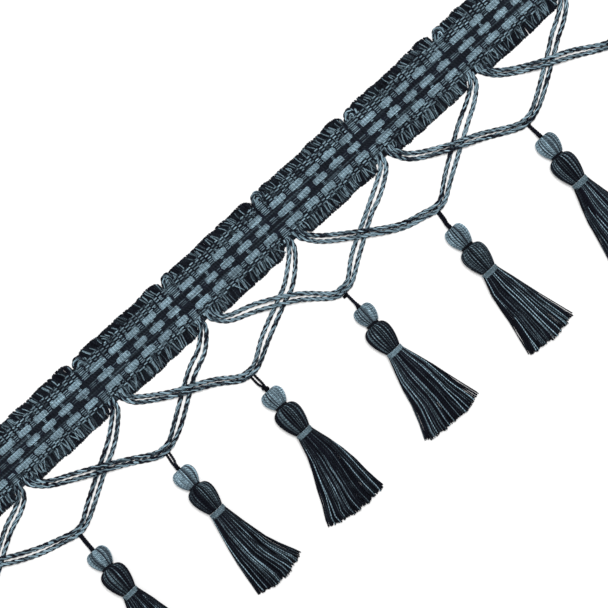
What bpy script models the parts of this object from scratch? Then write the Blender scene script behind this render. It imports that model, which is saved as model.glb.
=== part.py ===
"""Tassel fringe: a woven heading with looped edges, crossing swags of paired cords, and a bead and tassel
on each swag.

The trim lies flat. X runs along the heading, the tassels point to -Y, and Z is up from the heading's flat
back. The origin is in the middle of that back. Lengths are in metres.
"""
import math
import random
from collections import namedtuple

import bmesh
import bpy
from mathutils import Matrix, Vector

# Driving sizes of the whole trim
REPEAT = 0.051
REPEATS = 9
END_MARGIN = 0.008
SEAT_GAP = 0.0003

# Heading: heights of its rows above and below the middle line, and its thicknesses
HEADING_HALF_LENGTH = REPEAT * REPEATS / 2 + END_MARGIN
GROUND_EDGE = 0.0097
LIGHT_ROWS = ((-0.0070, -0.0043), (-0.0019, 0.0008), (0.0030, 0.0057))
DARK_ROWS = ((-0.0043, -0.0019), (0.0008, 0.0030))
GROUND_THICKNESS = 0.0015
LOOP_SLOPE = 0.09
LIGHT_RISE = 0.00045
DARK_RISE = 0.00030
FLOAT_BEVEL = 0.00035
TURN_RISE = 0.0006
EDGE_WOBBLE = 0.0003

# Light floats of one repeat, measured along the heading from the notch: where each starts and ends. The dark
# floats follow one another without a gap, so each of their rows is one long rib.
LIGHT_FLOATS = ((0.0020, 0.0099), (0.0129, 0.0192), (0.0221, 0.0285), (0.0314, 0.0381), (0.0413, 0.0472))

# Outline of the looped edges around one notch: distance along the heading, and height of the loops' tips.
# A distance within a float is either its end or well inside it. Tips past NOTCH_REACH are a little uneven.
UPPER_TIPS = (
    (-0.0225, 0.0143), (-0.0165, 0.0140), (-0.0105, 0.0142), (-0.0054, 0.0143), (-0.0038, 0.0134),
    (-0.0034, 0.0112), (-0.0031, 0.0101), (-0.0026, 0.0116), (-0.0014, 0.0134), (0.0006, 0.0142),
    (0.0028, 0.0136), (0.0042, 0.0128), (0.0060, 0.0138), (0.0110, 0.0143), (0.0170, 0.0140),
    (0.0221, 0.0143),
)
LOWER_TIPS = (
    (-0.0225, -0.0146), (-0.0165, -0.0148), (-0.0110, -0.0146), (-0.0082, -0.0143), (-0.0070, -0.0130),
    (-0.0066, -0.0104), (0.0064, -0.0104), (0.0080, -0.0126), (0.0099, -0.0138), (0.0129, -0.0143),
    (0.0170, -0.0147), (0.0221, -0.0146),
)
CORD_GAP = (-0.0066, 0.0064)
TURN_SPAN = (-0.0026, 0.0042)
NOTCH_REACH = 0.0090

# Swag cords
CORD_DIAMETER = 0.0021
CORD_POINT_SPACING = 3 * CORD_DIAMETER
CORD_REST = CORD_DIAMETER / 2 + 0.00002
CORD_START = GROUND_EDGE + SEAT_GAP
LEAVING_OFFSET = 0.0036
ARRIVING_OFFSET = -0.0024
LEAVING_SLANT = (0.0008, 0.0036)
ARRIVING_SLANT = (0.0012, 0.0042)
LOW_REACH = 0.0050
LEFT_OF_LOW = 0.0012
RIGHT_OF_LOW = 0.0008
NARROW_SPREAD = 0.0025
END_SPREAD = 0.0027
END_STRAIGHT = 0.0012
CROSSING_LIFT = CORD_DIAMETER + SEAT_GAP + 0.0001
CROSSING_FLAT = 0.0062
LOW_LIFT = 0.0012
LOW_FLAT = 0.0030
LIFT_RAMP = 0.0090

# One row for each swag from left to right, measured from the notch over its low point. Each pair gives the
# height of the middle line of its two cords and how far apart they run, at the named stations. low is where
# the low point lies. At crossing the left leg passes over the swag next to it.
Swag = namedtuple(
    "Swag",
    "crossing left_shoulder left_middle left_belly low right_belly right_middle right_shoulder",
)
SHOULDER, MIDDLE, BELLY = 0.0420, 0.0300, 0.0150
SWAGS = (
    Swag(None, (-0.0190, 0.0024), (-0.0257, 0.0028), (-0.0340, 0.0026), (0.0008, -0.0410),
         (-0.0325, 0.0028), (-0.0234, 0.0027), (-0.0182, 0.0028)),
    Swag(-0.0290, (-0.0200, 0.0025), (-0.0280, 0.0026), (-0.0360, 0.0027), (0.0035, -0.0415),
         (-0.0370, 0.0028), (-0.0284, 0.0027), (-0.0214, 0.0029)),
    Swag(-0.0225, (-0.0188, 0.0021), (-0.0247, 0.0026), (-0.0322, 0.0021), (0.0025, -0.0407),
         (-0.0358, 0.0031), (-0.0261, 0.0030), (-0.0204, 0.0030)),
    Swag(-0.0250, (-0.0179, 0.0024), (-0.0255, 0.0020), (-0.0330, 0.0022), (-0.0003, -0.0408),
         (-0.0342, 0.0031), (-0.0275, 0.0032), (-0.0202, 0.0031)),
    Swag(-0.0205, (-0.0182, 0.0024), (-0.0228, 0.0031), (-0.0310, 0.0027), (0.0008, -0.0413),
         (-0.0340, 0.0031), (-0.0254, 0.0023), (-0.0192, 0.0030)),
    Swag(-0.0287, (-0.0197, 0.0026), (-0.0283, 0.0022), (-0.0378, 0.0014), (0.0013, -0.0424),
         (-0.0357, 0.0029), (-0.0263, 0.0036), (-0.0195, 0.0032)),
    Swag(-0.0255, (-0.0196, 0.0025), (-0.0265, 0.0022), (-0.0331, 0.0024), (0.0028, -0.0410),
         (-0.0366, 0.0025), (-0.0269, 0.0027), (-0.0195, 0.0030)),
    Swag(-0.0242, (-0.0188, 0.0021), (-0.0261, 0.0021), (-0.0329, 0.0027), (0.0020, -0.0408),
         (-0.0350, 0.0026), (-0.0265, 0.0028), (-0.0200, 0.0026)),
)

# Hanging loops
THREAD_RADIUS = 0.00042
THREAD_REST = THREAD_RADIUS + 0.00003
LOOP_REACH = 0.0012
LOOP_CLEARANCE = 0.0026
BEND_RADIUS = 0.0009
LEGS_AT_BEAD = 0.00047

# Turned pieces: profiles as shares of the largest radius and of the length, from the top down. Their faces
# meet in a sharp edge past the named angle, in degrees.
TURNED_SIDES = 12
TURNED_SHARP = 60
STRAND_SHARP = 40
FLOOR_SPOT = 0.00015
BEAD_PROFILE = (
    (0.00, 0.03), (0.50, 0.00), (0.87, 0.10), (1.00, 0.34), (0.92, 0.62), (0.72, 0.86), (0.58, 1.00),
    (0.00, 1.00),
)
HEAD_PROFILE = (
    (0.00, 0.00), (0.49, 0.00), (0.49, 0.05), (0.80, 0.10), (0.98, 0.26), (0.99, 0.46), (0.84, 0.75),
    (0.62, 1.00),
)
WAIST_RADIUS = 0.00315
BINDING_INNER = 0.00345
BINDING_OUTER = 0.00385
ROOT_RADIUS = 0.00375
ROOT_LENGTH = 0.0009

# One row for each tassel, measured from its notch: places across, heights, radii and lengths of its pieces
Tassel = namedtuple(
    "Tassel",
    "bead_x tie_x bead_top bead_radius bead_length head_radius head_length tie_height thread_gap",
)
TASSELS = (
    Tassel(0.0008, 0.0006, -0.0512, 0.0051, 0.0092, 0.0059, 0.0130, 0.0026, 0.0012),
    Tassel(0.0037, 0.0034, -0.0517, 0.0052, 0.0090, 0.0060, 0.0129, 0.0024, 0.0011),
    Tassel(0.0019, 0.0021, -0.0508, 0.0052, 0.0093, 0.0058, 0.0128, 0.0029, 0.0017),
    Tassel(0.0003, 0.0000, -0.0515, 0.0052, 0.0084, 0.0061, 0.0131, 0.0026, 0.0018),
    Tassel(0.0010, -0.0004, -0.0515, 0.0048, 0.0088, 0.0059, 0.0131, 0.0025, 0.0010),
    Tassel(0.0004, 0.0003, -0.0527, 0.0050, 0.0102, 0.0059, 0.0126, 0.0025, 0.0012),
    Tassel(0.0028, 0.0021, -0.0502, 0.0052, 0.0099, 0.0059, 0.0131, 0.0029, 0.0010),
    Tassel(0.0004, 0.0006, -0.0510, 0.0051, 0.0093, 0.0059, 0.0130, 0.0026, 0.0011),
)

# Skirts: their sides at the flare and at the hem, measured from the notch, and the hem's height at its left
# end, middle and right end
Skirt = namedtuple("Skirt", "left_flare left_hem right_flare right_hem left_y middle_y right_y")
SKIRTS = (
    Skirt(-0.0072, -0.0125, 0.0080, 0.0130, -0.1115, -0.1137, -0.1113),
    Skirt(-0.0068, -0.0125, 0.0102, 0.0145, -0.1115, -0.1138, -0.1116),
    Skirt(-0.0051, -0.0086, 0.0086, 0.0160, -0.1118, -0.1136, -0.1104),
    Skirt(-0.0094, -0.0193, 0.0074, 0.0102, -0.1096, -0.1138, -0.1131),
    Skirt(-0.0085, -0.0160, 0.0078, 0.0137, -0.1113, -0.1136, -0.1115),
    Skirt(-0.0067, -0.0107, 0.0075, 0.0143, -0.1140, -0.1154, -0.1135),
    Skirt(-0.0065, -0.0117, 0.0091, 0.0135, -0.1114, -0.1138, -0.1117),
    Skirt(-0.0078, -0.0130, 0.0074, 0.0122, -0.1112, -0.1137, -0.1115),
)
FLARE_Y = -0.0900
FLARE_RISE = 0.0042
HEM_RISE = 0.0034
FLOOR_SHARE = 0.70
STRAND_SHARE = 0.80
INNER_RING = 0.0017
HEM_UNEVENNESS = 0.0007


def clear_scene():
    for obj in list(bpy.data.objects):
        bpy.data.objects.remove(obj, do_unlink=True)


def make_material(name, colour, roughness):
    material = bpy.data.materials.new(name)
    material.use_nodes = True
    shader = material.node_tree.nodes["Principled BSDF"]
    shader.inputs["Base Color"].default_value = (*colour, 1.0)
    shader.inputs["Roughness"].default_value = roughness
    shader.inputs["Metallic"].default_value = 0.0
    material.diffuse_color = (*colour, 1.0)
    return material


def add_object(name, mesh, material, collection):
    mesh.name = name
    mesh.materials.clear()
    mesh.materials.append(material)
    obj = bpy.data.objects.new(name, mesh)
    collection.objects.link(obj)


def mesh_of(obj):
    """The object's evaluated shape as a welded mesh of its own; the object itself is removed."""
    bpy.context.view_layer.update()
    evaluated = obj.evaluated_get(bpy.context.evaluated_depsgraph_get())
    mesh = bpy.data.meshes.new_from_object(evaluated)
    bpy.data.objects.remove(obj, do_unlink=True)
    bm = bmesh.new()
    bm.from_mesh(mesh)
    bmesh.ops.remove_doubles(bm, verts=bm.verts, dist=0.000001)
    bm.to_mesh(mesh)
    bm.free()
    return mesh


def shade_round(mesh, angle):
    mesh.shade_smooth()
    mesh.set_sharp_from_angle(angle=math.radians(angle))


def notch_x(number):
    return (number - REPEATS / 2) * REPEAT


# Heading

def along_heading(offsets):
    """Every offset from every notch that falls on the heading."""
    places = [notch_x(number) + offset for number in range(-1, REPEATS + 2) for offset in offsets]
    return [x for x in places if abs(x) < HEADING_HALF_LENGTH]


def tip_line(table, wobble_source):
    """The loops' tips along the whole heading, as (x, height) points with a little unevenness."""
    line = []
    for number in range(-1, REPEATS + 2):
        for offset, height in table:
            free = abs(offset) > NOTCH_REACH
            wobble = wobble_source.uniform(-EDGE_WOBBLE, EDGE_WOBBLE) if free else 0.0
            line.append((notch_x(number) + offset, height + wobble))
    return line


def height_on(line, x):
    for (x0, y0), (x1, y1) in zip(line, line[1:]):
        if x0 <= x <= x1:
            return y0 + (y1 - y0) * (x - x0) / (x1 - x0)
    return line[0][1] if x < line[0][0] else line[-1][1]


def is_between(x, spans):
    """Whether x falls in one of the spans, which are measured from a notch."""
    nearest = math.floor(x / REPEAT + REPEATS / 2)
    return any(
        start < x - notch_x(number) < end
        for number in (nearest - 1, nearest, nearest + 1)
        for start, end in spans
    )


def make_heading(material, collection):
    wobble_source = random.Random(5)
    upper_line = tip_line(UPPER_TIPS, wobble_source)
    lower_line = tip_line(LOWER_TIPS, wobble_source)
    offsets = {x for span in LIGHT_FLOATS for x in span}
    offsets |= {x for x, height in (*UPPER_TIPS, *LOWER_TIPS)}
    ends = {-HEADING_HALF_LENGTH, HEADING_HALF_LENGTH}
    columns = sorted({round(x, 6) for x in along_heading(offsets)} | ends)
    rows = sorted({y for span in (*LIGHT_ROWS, *DARK_ROWS) for y in span} | {-GROUND_EDGE, GROUND_EDGE})
    last_row = len(rows) + 1

    bm = bmesh.new()
    bmesh.ops.create_grid(bm, x_segments=len(columns) - 1, y_segments=last_row, size=1.0)
    for vert in bm.verts:
        x = columns[round((vert.co.x + 1) / 2 * (len(columns) - 1))]
        row = round((vert.co.y + 1) / 2 * last_row)
        if row == 0:
            y = height_on(lower_line, x)
        elif row == last_row:
            y = height_on(upper_line, x)
        else:
            y = rows[row - 1]
        thickness = GROUND_THICKNESS - LOOP_SLOPE * max(0.0, abs(y) - GROUND_EDGE)
        vert.co = (x, y, thickness)

    def cells(row_spans, float_spans):
        found = []
        for face in bm.faces:
            centre = face.calc_center_median()
            if any(low < centre.y < high for low, high in row_spans) and is_between(centre.x, float_spans):
                found.append(face)
        return found

    bmesh.ops.delete(bm, geom=cells(((-1.0, -GROUND_EDGE),), (CORD_GAP,)), context="FACES")
    raised = (
        (LIGHT_ROWS, LIGHT_FLOATS, LIGHT_RISE),
        (DARK_ROWS, ((0.0, REPEAT),), DARK_RISE),
        (((GROUND_EDGE, 1.0),), (TURN_SPAN,), TURN_RISE),
    )
    for row_spans, float_spans, rise in raised:
        faces = cells(row_spans, float_spans)
        bmesh.ops.inset_region(
            bm, faces=faces, thickness=FLOAT_BEVEL, depth=rise, use_boundary=True, use_even_offset=True,
        )
    bmesh.ops.dissolve_limit(bm, angle_limit=math.radians(0.3), verts=bm.verts, edges=bm.edges)

    rim = [edge for edge in bm.edges if edge.is_boundary]
    wall = bmesh.ops.extrude_edge_only(bm, edges=rim)["geom"]
    for element in wall:
        if isinstance(element, bmesh.types.BMVert):
            element.co.z = 0.0
    bmesh.ops.contextual_create(bm, geom=[edge for edge in bm.edges if edge.is_boundary])
    bmesh.ops.recalc_face_normals(bm, faces=bm.faces)
    mesh = bpy.data.meshes.new("heading")
    bm.to_mesh(mesh)
    bm.free()
    add_object("heading", mesh, material, collection)


# Swag cords

def smooth_points(points, spacing):
    """Points at an even spacing along a smooth curve through the given ones."""
    ends = [2 * points[0] - points[1], *points, 2 * points[-1] - points[-2]]
    fine = []
    for a, b, c, d in zip(ends, ends[1:], ends[2:], ends[3:]):
        for step in range(24):
            t = step / 24
            bend = (2 * a - 5 * b + 4 * c - d) * t**2 + (3 * b - a - 3 * c + d) * t**3
            fine.append(b + 0.5 * ((c - a) * t + bend))
    fine.append(points[-1])
    lengths = [0.0]
    for a, b in zip(fine, fine[1:]):
        lengths.append(lengths[-1] + (b - a).length)
    count = max(2, math.ceil(lengths[-1] / spacing))
    even = []
    place = 0
    for step in range(count + 1):
        target = lengths[-1] * step / count
        while place < len(lengths) - 2 and lengths[place + 1] < target:
            place += 1
        share = (target - lengths[place]) / (lengths[place + 1] - lengths[place])
        even.append(fine[place].lerp(fine[place + 1], share))
    return even


def lift(distance, flat):
    """One over the flat stretch around zero, easing to nothing past it."""
    t = min(1.0, max(0.0, (abs(distance) - flat) / LIFT_RAMP))
    return 1.0 - t * t * (3.0 - 2.0 * t)


def swag_route(number, side):
    """Route of one cord of a swag; side is 1 for the upper cord and -1 for the lower one."""
    swag = SWAGS[number - 1]
    centre = notch_x(number)
    low_x, low_y = swag.low
    middle_line = (
        (-REPEAT + LEAVING_OFFSET, -CORD_START - END_STRAIGHT, END_SPREAD),
        (-REPEAT + LEAVING_OFFSET + LEAVING_SLANT[0], -CORD_START - LEAVING_SLANT[1], END_SPREAD),
        (-SHOULDER, *swag.left_shoulder),
        (-MIDDLE, *swag.left_middle),
        (-BELLY, *swag.left_belly),
        (low_x - LOW_REACH, low_y + LEFT_OF_LOW, NARROW_SPREAD),
        (low_x, low_y, NARROW_SPREAD),
        (low_x + LOW_REACH, low_y + RIGHT_OF_LOW, NARROW_SPREAD),
        (BELLY, *swag.right_belly),
        (MIDDLE, *swag.right_middle),
        (SHOULDER, *swag.right_shoulder),
        (REPEAT + ARRIVING_OFFSET - ARRIVING_SLANT[0], -CORD_START - ARRIVING_SLANT[1], END_SPREAD),
        (REPEAT + ARRIVING_OFFSET, -CORD_START - END_STRAIGHT, END_SPREAD),
    )
    points = smooth_points([Vector(point) for point in middle_line], CORD_POINT_SPACING)
    route = []
    for index, (x, y, spread) in enumerate(points):
        ahead = points[min(index + 1, len(points) - 1)]
        behind = points[max(index - 1, 0)]
        across = Vector((behind.y - ahead.y, ahead.x - behind.x)).normalized()
        if index in (0, len(points) - 1):
            across = Vector((1.0 if index == 0 else -1.0, 0.0))
        height = LOW_LIFT * lift(x - low_x, LOW_FLAT)
        if swag.crossing is not None:
            height = max(height, CROSSING_LIFT * lift(x - swag.crossing, CROSSING_FLAT))
        offset = side * max(spread, NARROW_SPREAD) / 2
        route.append(Vector((centre + x + across.x * offset, y + across.y * offset, CORD_REST + height)))
    start, end = (Vector((point.x, -CORD_START, point.z)) for point in (route[0], route[-1]))
    return [start, *route, end]


def tube_curve(name, route, radius, resolution):
    curve = bpy.data.curves.new(name, "CURVE")
    curve.dimensions = "3D"
    curve.bevel_depth = radius
    curve.bevel_resolution = resolution
    curve.use_fill_caps = True
    spline = curve.splines.new("POLY")
    spline.points.add(len(route) - 1)
    for point, place in zip(spline.points, route):
        point.co = (*place, 1.0)
    return curve


def make_swag(number, material, collection):
    for label, side in (("upper", 1), ("lower", -1)):
        name = f"swag_{number}_{label}"
        curve = tube_curve(name, swag_route(number, side), CORD_DIAMETER / 2, 2)
        curve.materials.append(material)
        collection.objects.link(bpy.data.objects.new(name, curve))


# Turned pieces

def turned_mesh(name, profile, closed, collection):
    """A mesh turned about Z from (radius, height) points that run down its outer side."""
    mesh = bpy.data.meshes.new(name)
    edges = [(index, index + 1) for index in range(len(profile) - 1)]
    if closed:
        edges.append((len(profile) - 1, 0))
    mesh.from_pydata([(radius, 0.0, height) for radius, height in profile], edges, [])
    obj = bpy.data.objects.new(name, mesh)
    collection.objects.link(obj)
    screw = obj.modifiers.new("Turn", "SCREW")
    screw.steps = TURNED_SIDES
    screw.render_steps = TURNED_SIDES
    screw.use_merge_vertices = True
    screw.merge_threshold = 0.00005
    return mesh_of(obj)


def lay_down(mesh, top):
    """Lays a turned mesh with its top at the given point and its axis along -Y, one flat side down."""
    half_side = Matrix.Rotation(math.pi / TURNED_SIDES, 4, "Z")
    mesh.transform(Matrix.Translation(top) @ Matrix.Rotation(-math.pi / 2, 4, "X") @ half_side)
    for vert in mesh.vertices:
        vert.co.z = max(vert.co.z, 0.0)


def axis_height(radius):
    """How high the axis lies when a turned piece of this radius rests on a small flat spot."""
    return radius * math.cos(math.pi / TURNED_SIDES) - FLOOR_SPOT


def make_bead(number, material, collection):
    tassel = TASSELS[number - 1]
    profile = [(share * tassel.bead_radius, -down * tassel.bead_length) for share, down in BEAD_PROFILE]
    mesh = turned_mesh(f"bead_{number}", profile, False, collection)
    lay_down(mesh, (notch_x(number) + tassel.bead_x, tassel.bead_top, axis_height(tassel.bead_radius)))
    shade_round(mesh, TURNED_SHARP)
    add_object(f"bead_{number}", mesh, material, collection)


def head_top(tassel):
    return tassel.bead_top - tassel.bead_length - SEAT_GAP


def tie_top(tassel):
    return head_top(tassel) - tassel.head_length


def make_binding(number, material, collection):
    tassel = TASSELS[number - 1]
    profile = (
        (BINDING_OUTER, 0.0), (BINDING_OUTER, -tassel.tie_height),
        (BINDING_INNER, -tassel.tie_height), (BINDING_INNER, 0.0),
    )
    mesh = turned_mesh(f"binding_{number}", profile, True, collection)
    top = (notch_x(number) + tassel.tie_x, tie_top(tassel) - SEAT_GAP, axis_height(tassel.head_radius))
    lay_down(mesh, top)
    shade_round(mesh, TURNED_SHARP)
    add_object(f"binding_{number}", mesh, material, collection)


# Tassels

def skirt_place(number, corner, station):
    """Where a point of the neck's end face, in shares of its radius, comes to lie across and in height."""
    skirt = SKIRTS[number - 1]
    if station == "flare":
        left, right, rise = skirt.left_flare, skirt.right_flare, FLARE_RISE
    else:
        left, right, rise = skirt.left_hem, skirt.right_hem, HEM_RISE
    x = notch_x(number) + left + (right - left) * share_across(corner)
    return x, rise * max(0.0, FLOOR_SHARE + corner.y)


def share_across(corner):
    """From 0 at the skirt's left side to 1 at its right side, with the outer strands evenly wide."""
    side_middle = math.cos(math.pi / TURNED_SIDES)
    across = max(-1.0, min(1.0, corner.x / side_middle))
    return 0.5 + math.asin(across) / math.pi


def hem_y(number, share):
    skirt = SKIRTS[number - 1]
    bow = skirt.middle_y - (skirt.left_y + skirt.right_y) / 2
    return skirt.left_y + (skirt.right_y - skirt.left_y) * share + bow * (1 - (2 * share - 1) ** 2)


def split_neck_end(bm):
    """Closes the neck's open end and splits it into the roots of the strands, each with four sides."""
    rim = [edge for edge in bm.edges if edge.is_boundary]
    end_face = bmesh.ops.contextual_create(bm, geom=rim)["faces"][0]
    outer = bmesh.ops.inset_region(bm, faces=[end_face], thickness=INNER_RING, use_even_offset=True)["faces"]
    hub = bmesh.ops.poke(bm, faces=[end_face])["verts"][0]
    spokes = sorted(
        hub.link_edges,
        key=lambda edge: math.atan2(*(edge.other_vert(hub).co - hub.co).xz),
    )
    bmesh.ops.dissolve_edges(bm, edges=spokes[::2])
    return outer + list(hub.link_faces)


def grow_strand(bm, root, number, middle, shortening):
    """Extrudes one strand from its root to the flare and on to the hem."""
    corners = []
    for vert in root.verts:
        corners.append(Vector((vert.co.x - middle.x, vert.co.z - middle.z)) / ROOT_RADIUS)
    share = sum(share_across(corner) for corner in corners) / len(corners)
    end = root
    for station, y in (("flare", FLARE_Y), ("hem", hem_y(number, share) + shortening)):
        end = bmesh.ops.extrude_discrete_faces(bm, faces=[end])["faces"][0]
        places = [skirt_place(number, corner, station) for corner in corners]
        lowest = min(height for x, height in places)
        centre_x = sum(x for x, height in places) / len(places)
        centre_z = sum(height for x, height in places) / len(places) if lowest > 0.0 else 0.0
        for vert, (x, height) in zip(end.verts, places):
            vert.co.x = centre_x + (x - centre_x) * STRAND_SHARE
            vert.co.y = y
            vert.co.z = centre_z + (height - centre_z) * STRAND_SHARE


def make_tassel(number, material, collection):
    tassel = TASSELS[number - 1]
    profile = [(share * tassel.head_radius, -down * tassel.head_length) for share, down in HEAD_PROFILE]
    waist_end = -tassel.head_length - tassel.tie_height - 2 * SEAT_GAP
    profile += [
        (WAIST_RADIUS, -tassel.head_length), (WAIST_RADIUS, waist_end), (ROOT_RADIUS, waist_end),
        (ROOT_RADIUS, waist_end - ROOT_LENGTH),
    ]
    mesh = turned_mesh(f"tassel_{number}", profile, False, collection)
    top = Vector((notch_x(number) + tassel.tie_x, head_top(tassel), axis_height(tassel.head_radius)))
    lay_down(mesh, top)
    bm = bmesh.new()
    bm.from_mesh(mesh)
    unevenness = random.Random(40 + number)
    for root in split_neck_end(bm):
        grow_strand(bm, root, number, top, unevenness.uniform(0.0, HEM_UNEVENNESS))
    bmesh.ops.recalc_face_normals(bm, faces=bm.faces)
    bm.to_mesh(mesh)
    bm.free()
    shade_round(mesh, STRAND_SHARP)
    add_object(f"tassel_{number}", mesh, material, collection)


# Hanging loops

def make_hanging_loop(number, material, collection):
    """A thread doubled under the swag's low point, with its two legs drawn together on top of the bead."""
    low_x, low_y = SWAGS[number - 1].low
    tassel = TASSELS[number - 1]
    bead_axis = axis_height(tassel.bead_radius)
    foot = Vector((tassel.bead_x, tassel.bead_top + SEAT_GAP, bead_axis))
    bend_y = low_y + LOOP_REACH
    exit_y = low_y - LOOP_CLEARANCE
    top = Vector((low_x, bend_y, THREAD_REST))
    halfway = Vector(((low_x + foot.x) / 2, (exit_y + foot.y) / 2, (THREAD_REST + bead_axis) / 2))
    half = tassel.thread_gap / 2
    middle_and_half_width = (
        (foot, LEGS_AT_BEAD),
        (halfway, half),
        (Vector((low_x, exit_y, THREAD_REST)), half),
        (top - Vector((0.0, BEND_RADIUS, 0.0)), BEND_RADIUS),
        (top - Vector((0.0, BEND_RADIUS * 0.3, 0.0)), BEND_RADIUS * 0.7),
    )
    shift = Vector((notch_x(number), 0.0, 0.0))
    left_leg = [shift + middle - Vector((width, 0.0, 0.0)) for middle, width in middle_and_half_width]
    right_leg = [shift + middle + Vector((width, 0.0, 0.0)) for middle, width in middle_and_half_width]
    route = [*left_leg, shift + top, *reversed(right_leg)]

    name = f"hanging_loop_{number}"
    curve = tube_curve(name, route, THREAD_RADIUS, 1)
    curve.materials.append(material)
    collection.objects.link(bpy.data.objects.new(name, curve))


def main():
    clear_scene()
    collection = bpy.data.collections.new("Tassel_Fringe")
    bpy.context.scene.collection.children.link(collection)
    braid = make_material("Braid", (0.055, 0.085, 0.105), 0.9)
    cord = make_material("Twisted_Cord", (0.14, 0.21, 0.26), 0.85)
    dark = make_material("Dark_Yarn", (0.012, 0.016, 0.026), 0.85)
    light = make_material("Light_Yarn", (0.21, 0.32, 0.39), 0.8)
    make_heading(braid, collection)
    for number in range(1, len(SWAGS) + 1):
        make_swag(number, cord, collection)
        make_hanging_loop(number, dark, collection)
        make_bead(number, light, collection)
        make_tassel(number, dark, collection)
        make_binding(number, light, collection)


if __name__ == "__main__":
    main()
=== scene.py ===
"""Looks of the tassel fringe: woven heading, twisted swag cords, and yarn-covered beads and tassels.

The trim lies flat with its heading along X, its tassels towards -Y and its face up. Lengths are in metres.
"""
import math

import bpy
import numpy as np
from mathutils import Matrix, Vector


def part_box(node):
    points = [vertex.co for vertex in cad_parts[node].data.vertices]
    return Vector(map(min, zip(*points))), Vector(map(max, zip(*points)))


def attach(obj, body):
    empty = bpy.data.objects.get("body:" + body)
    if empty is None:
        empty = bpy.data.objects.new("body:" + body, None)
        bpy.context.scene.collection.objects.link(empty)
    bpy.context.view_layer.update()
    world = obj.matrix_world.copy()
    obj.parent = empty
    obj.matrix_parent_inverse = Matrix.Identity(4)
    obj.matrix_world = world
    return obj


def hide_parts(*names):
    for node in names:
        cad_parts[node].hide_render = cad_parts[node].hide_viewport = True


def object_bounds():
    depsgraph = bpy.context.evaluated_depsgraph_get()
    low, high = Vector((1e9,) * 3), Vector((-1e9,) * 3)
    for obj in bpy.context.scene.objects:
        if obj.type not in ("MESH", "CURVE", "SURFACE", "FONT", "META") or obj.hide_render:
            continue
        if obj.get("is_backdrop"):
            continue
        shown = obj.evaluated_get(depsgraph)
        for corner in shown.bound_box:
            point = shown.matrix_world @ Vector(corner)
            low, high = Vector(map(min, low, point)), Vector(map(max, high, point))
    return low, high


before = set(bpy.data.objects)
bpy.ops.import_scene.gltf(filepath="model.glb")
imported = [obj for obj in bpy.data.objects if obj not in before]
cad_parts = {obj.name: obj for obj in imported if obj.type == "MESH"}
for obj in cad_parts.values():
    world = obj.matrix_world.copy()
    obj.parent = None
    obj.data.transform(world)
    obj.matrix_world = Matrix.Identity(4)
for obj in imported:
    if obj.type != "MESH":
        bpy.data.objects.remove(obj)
CAD_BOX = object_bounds()

bl_info = {
    "name": "Tassel Fringe",
    "version": (1, 0, 0),
    "blender": (4, 5, 0),
    "location": "View3D > Sidebar > Fringe",
    "description": "Dresses a length of tassel fringe in woven, twisted and cut yarn",
    "category": "Object",
}

TURN = 2 * math.pi
UP = (0.0, 0.0, 1.0)

# Layout of the trim, as in its solids
REPEAT = 0.051
REPEATS = 9
HEADING_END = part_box("heading")[1][0]
NUMBERS = range(1, REPEATS)
NOTCHES = range(REPEATS + 1)


def notch_x(number):
    return (number - REPEATS / 2) * REPEAT


NOTCH_PLACES = [notch_x(number) for number in NOTCHES]

# Heading: heights of its rows above and below the middle line, and each float's span after a notch
GROUND_EDGE = 0.0097
GROUND_TOP = 0.0012
LIGHT_ROWS = ((-0.0070, -0.0043), (-0.0019, 0.0008), (0.0030, 0.0057))
DARK_ROWS = ((-0.0043, -0.0019), (0.0008, 0.0030))
LIGHT_FLOATS = ((0.0020, 0.0099), (0.0129, 0.0192), (0.0221, 0.0285), (0.0314, 0.0381), (0.0413, 0.0472))
DARK_FLOATS = ((0.0074, 0.0152), (0.0168, 0.0245), (0.0261, 0.0341), (0.0356, 0.0437), (0.0452, 0.0568))
BARE_STRIPS = ((-GROUND_EDGE, LIGHT_ROWS[0][0]), (LIGHT_ROWS[-1][1], GROUND_EDGE))
PILLAR = (-0.0038, 0.0018)
WEAVE_DRIFT = (0.0003, -0.0005, -0.0004, 0.0002, -0.0015, 0.0, -0.0001, 0.0002, -0.0006, 0.0)

# A float: share of the way along it, and its rise out of the ground there
FLOAT_SHARE = np.array([0.0, 0.02, 0.06, 0.14, 0.5, 0.86, 0.94, 0.98, 1.0])
FLOAT_RISE = np.array([-1.0, 0.1, 0.7, 0.95, 1.0, 0.95, 0.7, 0.1, -1.0])
SHORTEST_FLOAT = 0.0015
FLOAT_LAY = 0.0013

# A stitch: stations along its half length, and its thickness there
STITCH_SHARE = np.array([-1.0, -0.7, 0.0, 0.7, 1.0])
STITCH_SIZE = np.array([0.5, 0.95, 1.0, 0.95, 0.5])
STITCH_RADIUS = 0.00034
STITCH_LAY = 0.0008
STITCH_COLUMN = 0.00235
STRAY_STITCH_STEP = 0.0031
PILLAR_ROW = 0.0008
WEFT_RADIUS = 0.00030
WEFT_LAY = 0.0011

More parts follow.
